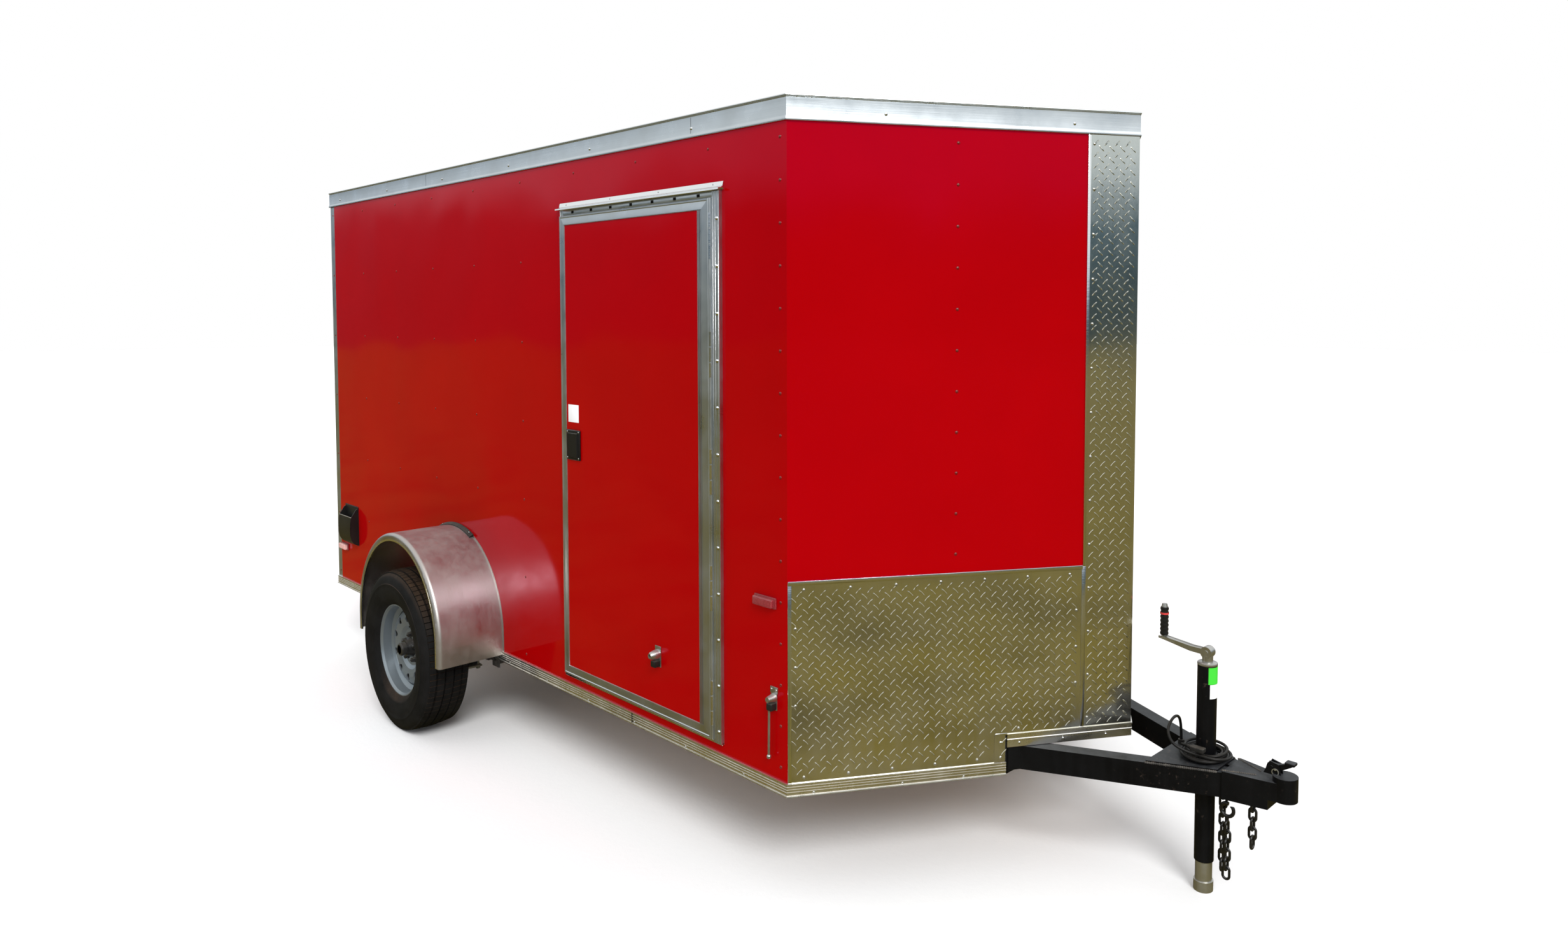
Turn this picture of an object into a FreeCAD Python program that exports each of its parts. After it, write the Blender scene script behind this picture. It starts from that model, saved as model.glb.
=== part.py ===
"""Enclosed single-axle cargo trailer with a V nose, a side door and a ramp door.

Millimetres. +X is the direction of travel, +Y is the trailer's left, +Z is up.
The origin is on the ground, in the middle of the overall length and width.
"""
import FreeCAD, Part
import math
import os
import re
from types import SimpleNamespace

import Sketcher
from FreeCAD import Rotation, Vector

# Driving dimensions: name, value and what it is.
SIZES = [
    ("box_length", 3658, "straight sides, rear face to front corner"),
    ("body_width", 1897, "over the side skins"),
    ("nose_depth", 622, "front corner to the tip of the V nose"),
    ("axle_setback", 1450, "rear face to the axle"),
    ("body_bottom", 328, "lower edge of the bottom trim"),
    ("roof_top", 2438, "top of the roof trim"),
    ("wall_thick", 38, "skin, post and liner"),
    ("skin_thick", 3, "skin where it hangs over the rails"),
    ("roof_thick", 30, "roof sheet, bows and liner"),
    ("floor_thick", 19, "plywood"),
    ("rail_height", 76, "frame tubes"),
    ("rail_width", 51, "frame tubes"),
    ("rail_gauge", 5, "wall of the frame tubes"),
    ("rail_lift", 10, "bottom trim's lower edge to the rails"),
    ("cross_width", 38, "crossmember tubes"),
    ("cross_count", 8, "crossmembers"),
    ("trim_proud", 4, "trims stand this far off the skin"),
    ("roof_trim_height", 77, "fascia along the roof"),
    ("roof_lip", 24, "fascia's flange over the roof"),
    ("bottom_trim_height", 41, "trim along the bottom"),
    ("guard_top", 982, "top of the stone guards"),
    ("sheet_thick", 2, "tread plate"),
    ("column_wing", 173, "tread plate either side of the nose tip"),
    ("notch_gap", 30, "end of the lower nose trim to the tongue beam"),
    ("notch_cap_width", 36, "upright piece at the end of the lower nose trim"),
    ("nose_trim_lift", 4, "upper nose trim above the tongue beams"),
    ("tongue_ahead", 470, "tip of the V nose to the meeting point of the beams"),
    ("tongue_half_angle", 25, "degrees from the centre line"),
    ("tongue_gap", 2, "between the beams' front ends"),
    ("jack_setback", 207, "meeting point of the beams to the jack"),
    ("plate_thick", 6, "tongue plate"),
    ("plate_length", 190, "tongue plate along the tongue"),
    ("plate_front", 66, "jack to the tongue plate's front edge"),
    ("coupler_nose", 77, "meeting point of the beams to the coupler's nose"),
    ("coupler_back", 125, "meeting point of the beams to the coupler's rear edge"),
    ("coupler_wall", 6, "coupler plate"),
    ("socket_radius", 26, "ball socket"),
    ("socket_outer", 36, "outside of the ball socket"),
    ("socket_mouth", 366, "lower edge of the ball socket"),
    ("socket_ball", 402, "height of the ball's centre"),
    ("jack_radius", 30, "outer tube"),
    ("jack_gauge", 3.5, "wall of the outer tube"),
    ("jack_top", 720, "top of the outer tube"),
    ("jack_end", 96, "lower end of the outer tube"),
    ("leg_radius", 26, "inner tube"),
    ("leg_length", 420, "inner tube and foot"),
    ("foot_radius", 30, "foot"),
    ("foot_height", 32, "foot"),
    ("flange_thick", 8, "jack flange"),
    ("crank_reach", 147, "jack axis to the grip"),
    ("crank_height", 752, "crank pivot"),
    ("grip_low", 778, "lower end of the grip"),
    ("grip_high", 876, "upper end of the grip"),
    ("grip_radius", 14, "grip"),
    ("door_back", 934, "axle to the side door frame's rear edge"),
    ("door_width", 969, "over the side door frame"),
    ("door_low", 403, "side door frame's lower edge"),
    ("door_high", 2183, "side door frame's upper edge"),
    ("door_flange", 6, "side door frame's flange off the skin"),
    ("door_gap", 5, "clearance round the side door"),
    ("door_edge", 12, "side door frame that shows round the leaf"),
    ("door_overlap", 40, "leaf's rim beyond its core"),
    ("door_plate", 6, "leaf's outer plate"),
    ("door_core", 30, "leaf's core inside the wall plane"),
    ("door_rim_width", 34, "aluminium rim of the leaf"),
    ("door_rim_proud", 2, "rim beyond the leaf's plate"),
    ("hinge_strip", 41, "width of the side door's hinge strip"),
    ("hinge_strip_proud", 12, "hinge strip off the skin"),
    ("hinge_radius", 4, "side door's hinge barrel"),
    ("jamb_thick", 6, "liner of the side doorway"),
    ("threshold", 433, "bottom of the side doorway's cut"),
    ("latch_inset", 44, "leaf's rear edge to the latch"),
    ("latch_width", 90, "side door latch"),
    ("latch_low", 1244, "side door latch's lower edge"),
    ("latch_high", 1358, "side door latch's upper edge"),
    ("latch_proud", 8, "side door latch off the leaf"),
    ("fitting_height", 618, "middle of the catch and of the hold-back"),
    ("catch_back", 297, "side door's hinge back to the catch"),
    ("holdback_front", 287, "side door's hinge forward to the hold-back"),
    ("fitting_half", 17, "half the width of the catch and the hold-back"),
    ("fender_radius", 417, "outside of the fender's arc"),
    ("fender_centre", 432, "height of the fender's centre"),
    ("fender_low", 356, "fender's lower edge"),
    ("fender_width", 276, "skin to the fender's lip"),
    ("fender_gauge", 3, "fender sheet"),
    ("fender_lip", 30, "depth of the fender's lip"),
    ("fender_corner", 16, "rounding of the fender's lip"),
    ("tyre_radius", 344, "unloaded tyre"),
    ("tyre_width", 202, "tyre section"),
    ("wheel_offset", 196, "skin to the wheel's middle plane"),
    ("rim_radius", 208, "rim flange"),
    ("rim_width", 144, "over the rim flanges"),
    ("spindle_radius", 16, "stub axle"),
    ("spindle_slack", 0.1, "stub axle in the hub"),
    ("axle_tube", 30, "radius of the axle beam"),
    ("axle_drop", 102, "stub axle down to the beam"),
    ("spring_length", 650, "eye to eye"),
    ("spring_width", 44, "leaf spring"),
    ("leaf_thick", 7, "one leaf"),
    ("hanger_drop", 32, "rails to the springs' eyes"),
    ("hanger_reach", 13, "hanger bolts beyond the spring"),
    ("eye_radius", 15, "outside of a spring's eye"),
    ("eye_bolt", 8, "hanger bolts"),
    ("rear_post", 60, "width of the rear posts"),
    ("rear_header", 100, "height of the rear header"),
    ("rear_depth", 50, "depth of the rear frame"),
    ("ramp_thick", 45, "ramp door"),
    ("ramp_gap", 5, "clearance round the ramp door"),
    ("ramp_lift", 10, "sill to the ramp door's lower edge"),
    ("ramp_hinge_back", 8, "rear face to the ramp hinge's axis"),
    ("ramp_hinge_radius", 6, "ramp hinge's barrel"),
    ("bar_radius", 13, "lock bars of the ramp door"),
    ("bar_inset", 150, "side skin to the lock bars"),
    ("handle_height", 1167, "middle of the lock bars' handles"),
    ("handle_reach", 230, "lock bar to its handle's end"),
    ("rear_hardware", 44, "lock bars stand this far behind the rear face"),
    ("vent_size", 205, "side vents"),
    ("vent_proud", 44, "side vents off the skin"),
    ("vent_back", 124, "rear face to the side vents"),
    ("vent_low", 575, "side vents' lower edge"),
    ("marker_length", 100, "side marker lights"),
    ("marker_height", 34, "side marker lights"),
    ("marker_proud", 20, "side marker lights off the skin"),
    ("front_marker_height", 912, "middle of the front side markers"),
    ("rear_marker_height", 545, "middle of the rear side markers"),
    ("front_marker_back", 148, "front corner to the front markers' rear edge"),
    ("rear_marker_front", 52, "rear face to the rear markers' rear edge"),
    ("tail_low", 860, "tail lights' lower edge"),
    ("tail_high", 1020, "tail lights' upper edge"),
    ("tail_width", 44, "tail lights"),
    ("tail_proud", 18, "tail lights off the rear face"),
    ("lamp_pitch", 150, "between the three rear lamps"),
    ("lamp_half", 32, "half the width of a rear lamp"),
    ("lamp_height", 22, "rear lamps"),
    ("cord_radius", 4.5, "wiring cord"),
    ("coil_inner", 40, "inside of the coiled cord"),
    ("coil_outer", 86, "outside of the coiled cord"),
    ("coil_height", 30, "coiled cord"),
]

# Places worked out from the driving dimensions.
PLACES = [
    ("rear_x", "-(rear_hardware+box_length+nose_depth+tongue_ahead+coupler_nose)/2+rear_hardware"),
    ("corner_x", "rear_x+box_length"),
    ("nose_x", "corner_x+nose_depth"),
    ("axle_x", "rear_x+axle_setback"),
    ("apex_x", "nose_x+tongue_ahead"),
    ("jack_x", "apex_x-jack_setback"),
    ("half", "body_width/2"),
    ("rail_low", "body_bottom+rail_lift"),
    ("rail_top", "rail_low+rail_height"),
    ("floor_top", "rail_top+floor_thick"),
    ("roof_low", "roof_top-trim_proud+1-roof_thick"),
    ("cross_pitch", "(box_length-rear_depth-cross_width)/(cross_count-1)"),
    ("nose_slope", "half/nose_depth"),
    ("nose_lift", "sqrt(half*half+nose_depth*nose_depth)/nose_depth"),
    ("tongue_slope", "tan(tongue_half_angle)"),
    ("beam_side", "rail_width/cos(tongue_half_angle)"),
    ("beam_back_x", "corner_x-cross_pitch"),
    ("notch_x", "(half+corner_x*nose_slope-apex_x*tongue_slope)/(nose_slope-tongue_slope)-notch_gap"),
    ("nose_trim_low", "rail_top+nose_trim_lift"),
    ("column_x", "nose_x-column_wing/nose_lift"),
    ("wheel_y", "half+wheel_offset"),
    ("beam_z", "tyre_radius-axle_drop"),
    ("door_x", "axle_x+door_back"),
    ("door_end_x", "door_x+door_width"),
    ("leaf_back_x", "door_x+door_edge"),
    ("hinge_x", "door_end_x-hinge_strip"),
    ("leaf_front_x", "hinge_x-door_gap"),
    ("holdback_x", "min(hinge_x+holdback_front;corner_x-fitting_half-10)"),
    ("front_marker_x", "max(corner_x-front_marker_back;door_end_x+5)"),
    ("leaf_low", "door_low+door_edge-2"),
    ("leaf_high", "door_high-door_edge*2"),
    ("core_back_x", "leaf_back_x+door_overlap"),
    ("core_front_x", "leaf_front_x-door_overlap/2-4"),
    ("core_low", "threshold+jamb_thick+door_gap+1"),
    ("core_high", "leaf_high-door_overlap"),
    ("leaf_in_y", "half+door_flange+door_gap"),
    ("leaf_out_y", "leaf_in_y+door_plate"),
    ("socket_x", "apex_x+coupler_nose-socket_outer"),
    ("ramp_low", "rail_top+ramp_lift"),
    ("ramp_high", "roof_low-rear_header-ramp_gap"),
    ("ramp_hinge_x", "rear_x-ramp_hinge_back"),
    ("ramp_hinge_z", "ramp_low-ramp_hinge_back"),
    ("plate_top", "rail_top+plate_thick"),
]

doc = FreeCAD.newDocument("cargo_trailer")
HOMES = {name: "Sizes." for name, value, note in SIZES}
HOMES.update({name: "Places." for name, formula in PLACES})
WORD = re.compile(r"[a-z][a-z_]*")
NODES = {}


def bound(text):
    """An expression on the two sheets, from a text that uses their plain names."""
    return WORD.sub(lambda found: HOMES.get(found.group(), "") + found.group(), str(text))


def fill_sheets():
    """The driving dimensions as plain numbers, and the places as formulas on them."""
    sizes = doc.addObject("Spreadsheet::Sheet", "Sizes")
    for row, (name, value, note) in enumerate(SIZES, 1):
        sizes.set(f"A{row}", name)
        sizes.set(f"B{row}", str(value))
        sizes.set(f"C{row}", note)
        sizes.setAlias(f"B{row}", name)
    places = doc.addObject("Spreadsheet::Sheet", "Places")
    for row, (name, formula) in enumerate(PLACES, 1):
        places.setAlias(f"B{row}", name)
    for row, (name, formula) in enumerate(PLACES, 1):
        places.set(f"A{row}", name)
        places.set(f"B{row}", "=" + bound(formula).replace("Places.", ""))
    doc.recompute()
    values = {name: float(sizes.get(name)) for name, value, note in SIZES}
    values.update({name: float(places.get(name)) for name, formula in PLACES})
    return SimpleNamespace(**values)


v = fill_sheets()


# ---------------------------------------------------------------- building blocks

def place(piece, spot, turn=None):
    """Binds a piece's position to the sheets."""
    if turn:
        piece.Placement = FreeCAD.Placement(Vector(), turn)
    for axis, text in zip("xyz", spot):
        piece.setExpression(f"Placement.Base.{axis}", bound(text))
    return piece


def block(label, low, high):
    """A box between two corners."""
    piece = doc.addObject("Part::Box", label)
    for side, start, end in zip(("Length", "Width", "Height"), low, high):
        piece.setExpression(side, bound(f"({end})-({start})"))
    return place(piece, low)


TURNS = {
    "x": Rotation(Vector(0, 1, 0), 90),
    "y": Rotation(Vector(1, 0, 0), -90),
    "z": Rotation(),
}


def rod(label, start, radius, length, along="z"):
    """A round bar from its start point along one axis."""
    piece = doc.addObject("Part::Cylinder", label)
    piece.setExpression("Radius", bound(radius))
    piece.setExpression("Height", bound(length))
    return place(piece, start, TURNS[along])


def joined(label, *pieces):
    """Pieces fused into one solid."""
    piece = doc.addObject("Part::MultiFuse", label)
    piece.Shapes = list(pieces)
    piece.Refine = True
    return piece


def without(label, base, *tools):
    """A piece less its tools."""
    piece = doc.addObject("Part::Cut", label)
    piece.Base = base
    piece.Tool = tools[0] if len(tools) == 1 else joined(label + "_tools", *tools)
    piece.Refine = True
    return piece


def within(label, base, tool):
    """The part of a piece that lies in the tool."""
    piece = doc.addObject("Part::Common", label)
    piece.Base = base
    piece.Tool = tool
    piece.Refine = True
    return piece


def mirror_of(label, source):
    """A piece on the other side of the centre line."""
    piece = doc.addObject("Part::Mirroring", label)
    piece.Source = source
    piece.Normal = Vector(0, 1, 0)
    return piece


def together(label, *pieces):
    """Like pieces that don't touch, kept as separate solids of one sub-part."""
    piece = doc.addObject("Part::Compound", label)
    piece.Links = list(pieces)
    return piece


def both_sides(label, source):
    """A piece and its mirror image."""
    return together(label, source, mirror_of(label + "_mirror", source))


def made(label, shape):
    """A sub-part whose shape is worked out from the sheets' values."""
    piece = doc.addObject("Part::Feature", label)
    piece.Shape = shape
    return piece


def node(name, piece):
    """Names a finished sub-part."""
    piece.Label = name
    NODES[name] = piece
    return piece


def sketch_in(body, plane, corners):
    """A closed outline of straight edges whose corners are bound to the sheets."""
    sketch = body.newObject("Sketcher::SketchObject", body.Name + "_outline")
    origin_plane = [item for item in body.Origin.OriginFeatures if item.Role == plane][0]
    sketch.AttachmentSupport = [(origin_plane, "")]
    sketch.MapMode = "FlatFace"
    count = len(corners)
    for index in range(count):
        start = Vector(index, index * index, 0)
        following = (index + 1) % count
        end = Vector(following, following * following, 0)
        sketch.addGeometry(Part.LineSegment(start, end))
    for index in range(count):
        sketch.addConstraint(Sketcher.Constraint("Coincident", index, 2, (index + 1) % count, 1))
    for index, corner in enumerate(corners):
        for kind, text in zip(("DistanceX", "DistanceY"), corner):
            constraint = Sketcher.Constraint(kind, -1, 1, index, 1, float(index + 1))
            number = sketch.addConstraint(constraint)
            sketch.setExpression(f"Constraints[{number}]", bound(text))
    return sketch


def slab(label, plane, corners, low, high):
    """An outline padded from low to high: upwards on XY, along +X on YZ, along Y on XZ."""
    body = doc.addObject("PartDesign::Body", label)
    sketch = sketch_in(body, plane + "_Plane", corners)
    start = f"-({high})" if plane == "XZ" else low
    sketch.setExpression(".AttachmentOffset.Base.z", bound(start))
    pad = body.newObject("PartDesign::Pad", label + "_pad")
    pad.Profile = sketch
    pad.setExpression("Length", bound(f"({high})-({low})"))
    return body


def spun(label, corners, height, turn_at_y):
    """An outline of (distance along Y, radius) pairs turned about a line along Y."""
    body = doc.addObject("PartDesign::Body", label)
    sketch = sketch_in(body, "YZ_Plane", corners)
    turning = body.newObject("PartDesign::Revolution", label + "_turn")
    turning.Profile = sketch
    turning.ReferenceAxis = (sketch, ["H_Axis"])
    turning.Angle = 360
    place(body, ("axle_x", turn_at_y, height))
    return body


def plan(label, offset, low, high, rear):
    """The body's plan outline, moved outwards by an offset, between two heights."""
    out = f"(half+{offset})"
    front = f"corner_x+({offset})*(nose_lift-1)/nose_slope"
    tip = f"nose_x+({offset})*nose_lift/nose_slope"
    corners = [(rear, f"-{out}"), (front, f"-{out}"), (tip, "0"), (front, out), (rear, out)]
    return slab(label, "XY", corners, low, high)


# ---------------------------------------------------------------- frame and running gear

def tube(label, low, high, along):
    """A rectangular tube along x or y, open at its ends."""
    inner_low = [f"{text}+rail_gauge" for text in low]
    inner_high = [f"{text}-rail_gauge" for text in high]
    axis = "xyz".index(along)
    inner_low[axis] = low[axis] + "-1"
    inner_high[axis] = high[axis] + "+1"
    return without(label, block(label + "_bar", low, high), block(label + "_bore", inner_low, inner_high))


# A leaf spring's leaves, as shares of its length, from the lowest up, and the play at its bolts.
LEAF_SHARES = (0.45, 0.75, 1.0)
EYE_SLACK = 0.2


def frame_rails():
    low = ("rear_x+rear_depth", "half-skin_thick-rail_width", "rail_low")
    high = ("corner_x-skin_thick", "half-skin_thick", "rail_top")
    node("frame_rails", both_sides("rails", tube("rail", low, high, "x")))


def beam_outline(inset, back):
    """A tongue beam seen from above, with its long sides moved inwards."""
    slack = f"({inset}*beam_side/rail_width)"
    gap = f"(tongue_gap/2+{inset})"
    outer = f"((apex_x-({back}))*tongue_slope-{slack})"
    inner = f"((apex_x-({back}))*tongue_slope-beam_side+{slack})"
    return [
        (back, outer),
        (back, inner),
        (f"apex_x-(beam_side-{slack}+{gap})/tongue_slope", gap),
        (f"apex_x-({gap}+{slack})/tongue_slope", gap),
    ]


def tongue_beams():
    bar = slab("beam_bar", "XY", beam_outline("0", "beam_back_x"), "rail_low", "rail_top")
    bore_outline = beam_outline("rail_gauge", "beam_back_x-1")
    bore = slab("beam_bore", "XY", bore_outline, "rail_low+rail_gauge", "rail_top-rail_gauge")
    # In a narrow trailer the rails cut the beams' rear ends.
    rail_room = block("rail_room", ("beam_back_x-1", "half-skin_thick-rail_width", "rail_low-1"),
                      ("corner_x", "half", "rail_top+1"))
    node("tongue_beams", both_sides("beams", without("beam", bar, bore, rail_room)))


def crossmembers():
    """Tubes across the frame; the one at the front corner is cut round the tongue beams."""
    side = "half-skin_thick-rail_width"
    pieces = []
    for index in range(int(v.cross_count)):
        back = f"rear_x+rear_depth+{index}*cross_pitch"
        low = (back, f"-({side})", "rail_low")
        high = (f"{back}+cross_width", side, "rail_top")
        pieces.append(tube(f"crossmember_{index}", low, high, "y"))
    room = slab("beam_room", "XY", beam_outline("0", "beam_back_x"), "rail_low-1", "rail_top+1")
    rooms = joined("beam_rooms", room, mirror_of("beam_room_mirror", room))
    pieces[-1] = without("front_crossmember", pieces[-1], rooms)
    node("crossmembers", together("crossmember_set", *pieces))


def nose_rails():
    """Tubes under the slanting walls, from the front corners to the tongue beams."""
    def meeting(depth):
        """Where a line inside the nose skin meets the beam's outer face."""
        x = f"(notch_x+notch_gap-({depth})*nose_lift/(nose_slope-tongue_slope))"
        return (x, f"(apex_x-{x})*tongue_slope")

    def at_corner(depth):
        return ("corner_x", f"half-({depth})*nose_lift")

    inside = "(skin_thick+rail_width)"
    corners = [at_corner("skin_thick"), meeting("skin_thick"), meeting(inside), at_corner(inside)]
    rail = slab("nose_rail", "XY", corners, "rail_low", "rail_top")
    node("nose_rails", both_sides("nose_rail_pair", rail))


def axle():
    """A drop axle: beam below, arms up to the stub axles."""
    arm_in = "half+8"
    beam = rod("axle_beam", ("axle_x", "0", "beam_z"), "axle_tube", "half+58", "y")
    arm_low = ("axle_x-26", arm_in, "beam_z-axle_tube")
    arm_high = ("axle_x+26", "half+58", "tyre_radius+32")
    arm = block("axle_arm", arm_low, arm_high)
    stub = rod("axle_stub", ("axle_x", "half+50", "tyre_radius"), "spindle_radius", "wheel_offset-40", "y")
    half_axle = joined("half_axle", beam, arm, stub)
    node("axle", joined("axle_whole", half_axle, mirror_of("half_axle_mirror", half_axle)))


def leaf_springs():
    """Three-leaf packs on top of the beam; returns the middles of the eyes and the inner face."""
    reach = v.spring_length / 2
    seat = v.beam_z + v.axle_tube
    camber = v.rail_low - v.hanger_drop - seat - len(LEAF_SHARES) * v.leaf_thick
    bend = (reach * reach + camber * camber) / (2 * camber)
    middle = Vector(v.axle_x, 0, seat + bend)
    y_low = v.half - v.skin_thick - 1 - v.hanger_reach - v.spring_width
    across = Vector(0, v.spring_width, 0)
    leaves = []
    for index, share in enumerate(LEAF_SHARES):
        outer = bend - index * v.leaf_thick
        inner = outer - v.leaf_thick
        swing = math.asin(reach * share / bend)
        ends = [Vector(math.sin(a), 0, -math.cos(a)) for a in (-swing, 0, swing)]
        low = [middle + end * outer for end in ends]
        high = [middle + end * inner for end in ends]
        edges = [
            Part.Arc(*low).toShape(),
            Part.LineSegment(low[2], high[2]).toShape(),
            Part.Arc(*high).toShape(),
            Part.LineSegment(high[0], low[0]).toShape(),
        ]
        leaves.append(Part.Face(Part.Wire(Part.__sortEdges__(edges))).extrude(across))
    # The longest leaf comes last, so its ends are the eyes' places.
    eyes = [(low[0] + high[0]) / 2, (low[2] + high[2]) / 2]
    rings = [Part.makeCylinder(v.eye_radius, v.spring_width, eye, across) for eye in eyes]
    holes = [Part.makeCylinder(v.eye_bolt + EYE_SLACK, v.spring_width, eye, across) for eye in eyes]
    pack = leaves[0].multiFuse(leaves[1:] + rings).cut(holes[0]).cut(holes[1])
    pack.translate(Vector(0, y_low, 0))
    node("leaf_springs", both_sides("leaf_spring_pair", made("leaf_spring", pack)))
    return eyes, y_low


def spring_hangers(eyes, y_low):
    """Plates under the rails that carry the springs' eye bolts."""
    long_side = 56
    plate = 6
    gap = 1
    pieces = []
    for index, eye in enumerate(eyes):
        back = eye.x - long_side / 2
        low = eye.z - v.eye_radius - plate - gap
        wide = v.spring_width + 2 * (gap + plate)
        inner_y = y_low - gap - plate
        outer_y = y_low + v.spring_width + gap
        tall = v.rail_low - low
        cheeks = [Part.makeBox(long_side, plate, tall, Vector(back, y, low)) for y in (inner_y, outer_y)]
        bridge = Part.makeBox(long_side, wide, plate, Vector(back, inner_y, v.rail_low - plate))
        bolt_start = Vector(eye.x, y_low - v.hanger_reach, eye.z)
        bolt = Part.makeCylinder(v.eye_bolt, v.spring_width + 2 * v.hanger_reach, bolt_start, Vector(0, 1, 0))
        pieces.append(made(f"hanger_{index}", cheeks[0].multiFuse([cheeks[1], bridge, bolt])))
    pair = together("hanger_pair", *pieces)
    node("spring_hangers", both_sides("hanger_set", pair))


def wheels():
    """Tyre, rim and hub, with the outline given as (outboard, radius) from the middle plane."""
    tyre = [("-76", "212"), ("-tyre_width/2", "250"), ("-tyre_width/2", "285"), ("-90", "318"),
            ("-76", "tyre_radius-6"), ("-52", "tyre_radius"), ("52", "tyre_radius"), ("76", "tyre_radius-6"),
            ("90", "318"), ("tyre_width/2", "285"), ("tyre_width/2", "250"), ("76", "212"),
            ("66", "209.5"), ("63", "197.5"), ("59.5", "192.5"), ("-59.5", "192.5"), ("-63", "197.5"),
            ("-66", "209.5")]
    lip = "rim_width/2"
    barrel = [(lip, "rim_radius"), (f"{lip}-5", "rim_radius"), (f"{lip}-8", "196"), (f"{lip}-12", "191.5"),
              ("26", "189"), ("14", "172"), ("-24", "172"), ("-36", "189"), (f"-{lip}+12", "191.5"),
              (f"-{lip}+8", "196"), (f"-{lip}+5", "rim_radius"), (f"-{lip}", "rim_radius"),
              (f"-{lip}", "192"), (f"-{lip}+9", "185"), ("-38", "183"), ("-27", "166"),
              ("17", "166"), ("29", "183"), (f"{lip}-9", "185"), (lip, "192")]
    disc = [("10", "169"), ("-4", "169"), ("6", "156"), ("24", "146"), ("30", "126"), ("21", "94"),
            ("12", "80"), ("12", "42"), ("16", "42"), ("16", "79"), ("26", "94"), ("35", "126"),
            ("29", "150")]
    hub = [("-66", "46"), ("-3", "46"), ("-3", "72"), ("11.5", "72"), ("11.5", "40"), ("44", "33"),
           ("44", "28"), ("64", "27"), ("68", "22"), ("68", "0"), ("30", "0"),
           ("30", "spindle_radius+spindle_slack"), ("-66", "spindle_radius+spindle_slack")]
    holes = 10
    circle = 128
    for name, outlines in (("tyre", [tyre]), ("rim", [barrel, disc]), ("hub", [hub])):
        # The outboard side of the left wheel is +Y.
        turned = [spun(f"{name}_blank_{i}", o, "tyre_radius", "wheel_y") for i, o in enumerate(outlines)]
        left = turned[0] if len(turned) == 1 else joined(f"{name}_fused", *turned)
        if name == "rim":
            drills = []
            for index in range(holes):
                angle = math.tau * (index + 0.5) / holes
                x = f"axle_x+{circle * math.cos(angle):.3f}"
                z = f"tyre_radius+{circle * math.sin(angle):.3f}"
                drills.append(rod(f"rim_hole_{index}", (x, "wheel_y", z), "15", "60", "y"))
            left = without("rim_pierced", left, *drills)
        node(f"{name}_left", left)
        node(f"{name}_right", mirror_of(f"{name}_right_mirror", left))


# ---------------------------------------------------------------- body

def walls():
    """Side and nose walls cut from one ring, with the skin hanging over the rails."""
    ring = without(
        "wall_ring",
        plan("wall_out", "0", "rail_top", "roof_low", "rear_x+rear_depth"),
        plan("wall_in", "-wall_thick", "rail_top-1", "roof_low+1", "rear_x"),
    )
    skirt = without(
        "skirt_ring",
        plan("skirt_out", "0", "body_bottom+2", "rail_top", "rear_x+rear_depth"),
        plan("skirt_in", "-skin_thick", "body_bottom", "rail_top+1", "rear_x"),
    )
    spans = {
        "wall": ("rear_x", "corner_x", "corner_x"),
        "nose_wall": ("corner_x", "nose_x+1", "notch_x+2"),
    }
    for kind, (back, front, skirt_front) in spans.items():
        room = block(kind + "_room", (back, "0", "0"), (front, "half+1", "roof_top"))
        hang = block(kind + "_skirt_room", (back, "0", "0"), (skirt_front, "half+1", "roof_top"))
        upper = within(kind + "_part", ring, room)
        left = joined(kind + "_joined", upper, within(kind + "_skirt", skirt, hang))
        right = mirror_of(kind + "_mirror", left)
        if kind == "wall":
            liner = "jamb_thick+door_gap"
            cut_low = (f"core_back_x-({liner})", "-half-1", "threshold")
            cut_high = (f"core_front_x+{liner}", "-half+wall_thick+1", f"core_high+{liner}")
            right = without("wall_cut", right, block("doorway", cut_low, cut_high))
            node("left_wall", left)
            node("right_wall", right)
        else:
            node("nose_wall_left", left)
            node("nose_wall_right", right)


def floor_and_roof():
    node("floor", plan("floor_sheet", "-wall_thick", "rail_top", "floor_top", "rear_x+rear_depth+10"))
    node("roof", plan("roof_sheet", "0", "roof_low", "roof_low+roof_thick", "rear_x"))


def roof_trim():
    """A fascia round the roof with a lip over its edge."""
    outer = plan("trim_out", "trim_proud", "roof_top-roof_trim_height", "roof_top", "rear_x-trim_proud")
    inner = plan("trim_in", "0", "roof_top-roof_trim_height-1", "roof_low+roof_thick", "rear_x")
    well = plan("trim_well", "-roof_lip", "roof_low", "roof_top+1", "rear_x+roof_lip")
    node("roof_trim", without("roof_trim_cut", outer, inner, well))


def bottom_trim():
    """Strips along the sides and nose; the nose strip steps up over the tongue beams."""
    def strip(label, low, high):
        return without(
            label + "_ring",
            plan(label + "_out", "trim_proud", low, high, "rear_x"),
            plan(label + "_in", "0", f"{low}-1", f"{high}+1", "rear_x-1"),
        )
    lower = strip("low_trim", "body_bottom", "body_bottom+bottom_trim_height")
    cut_away = block("low_trim_front", ("notch_x", "-half", "0"), ("nose_x+20", "half", "roof_top"))
    upper = strip("high_trim", "nose_trim_low", "nose_trim_low+bottom_trim_height")
    front = block("high_trim_room", ("notch_x+2", "-half", "0"), ("nose_x+20", "half", "roof_top"))
    lower_two = without("low_trim_two", lower, cut_away)
    node("bottom_trim", together("bottom_trims", lower_two, within("high_trim_part", upper, front)))


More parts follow.
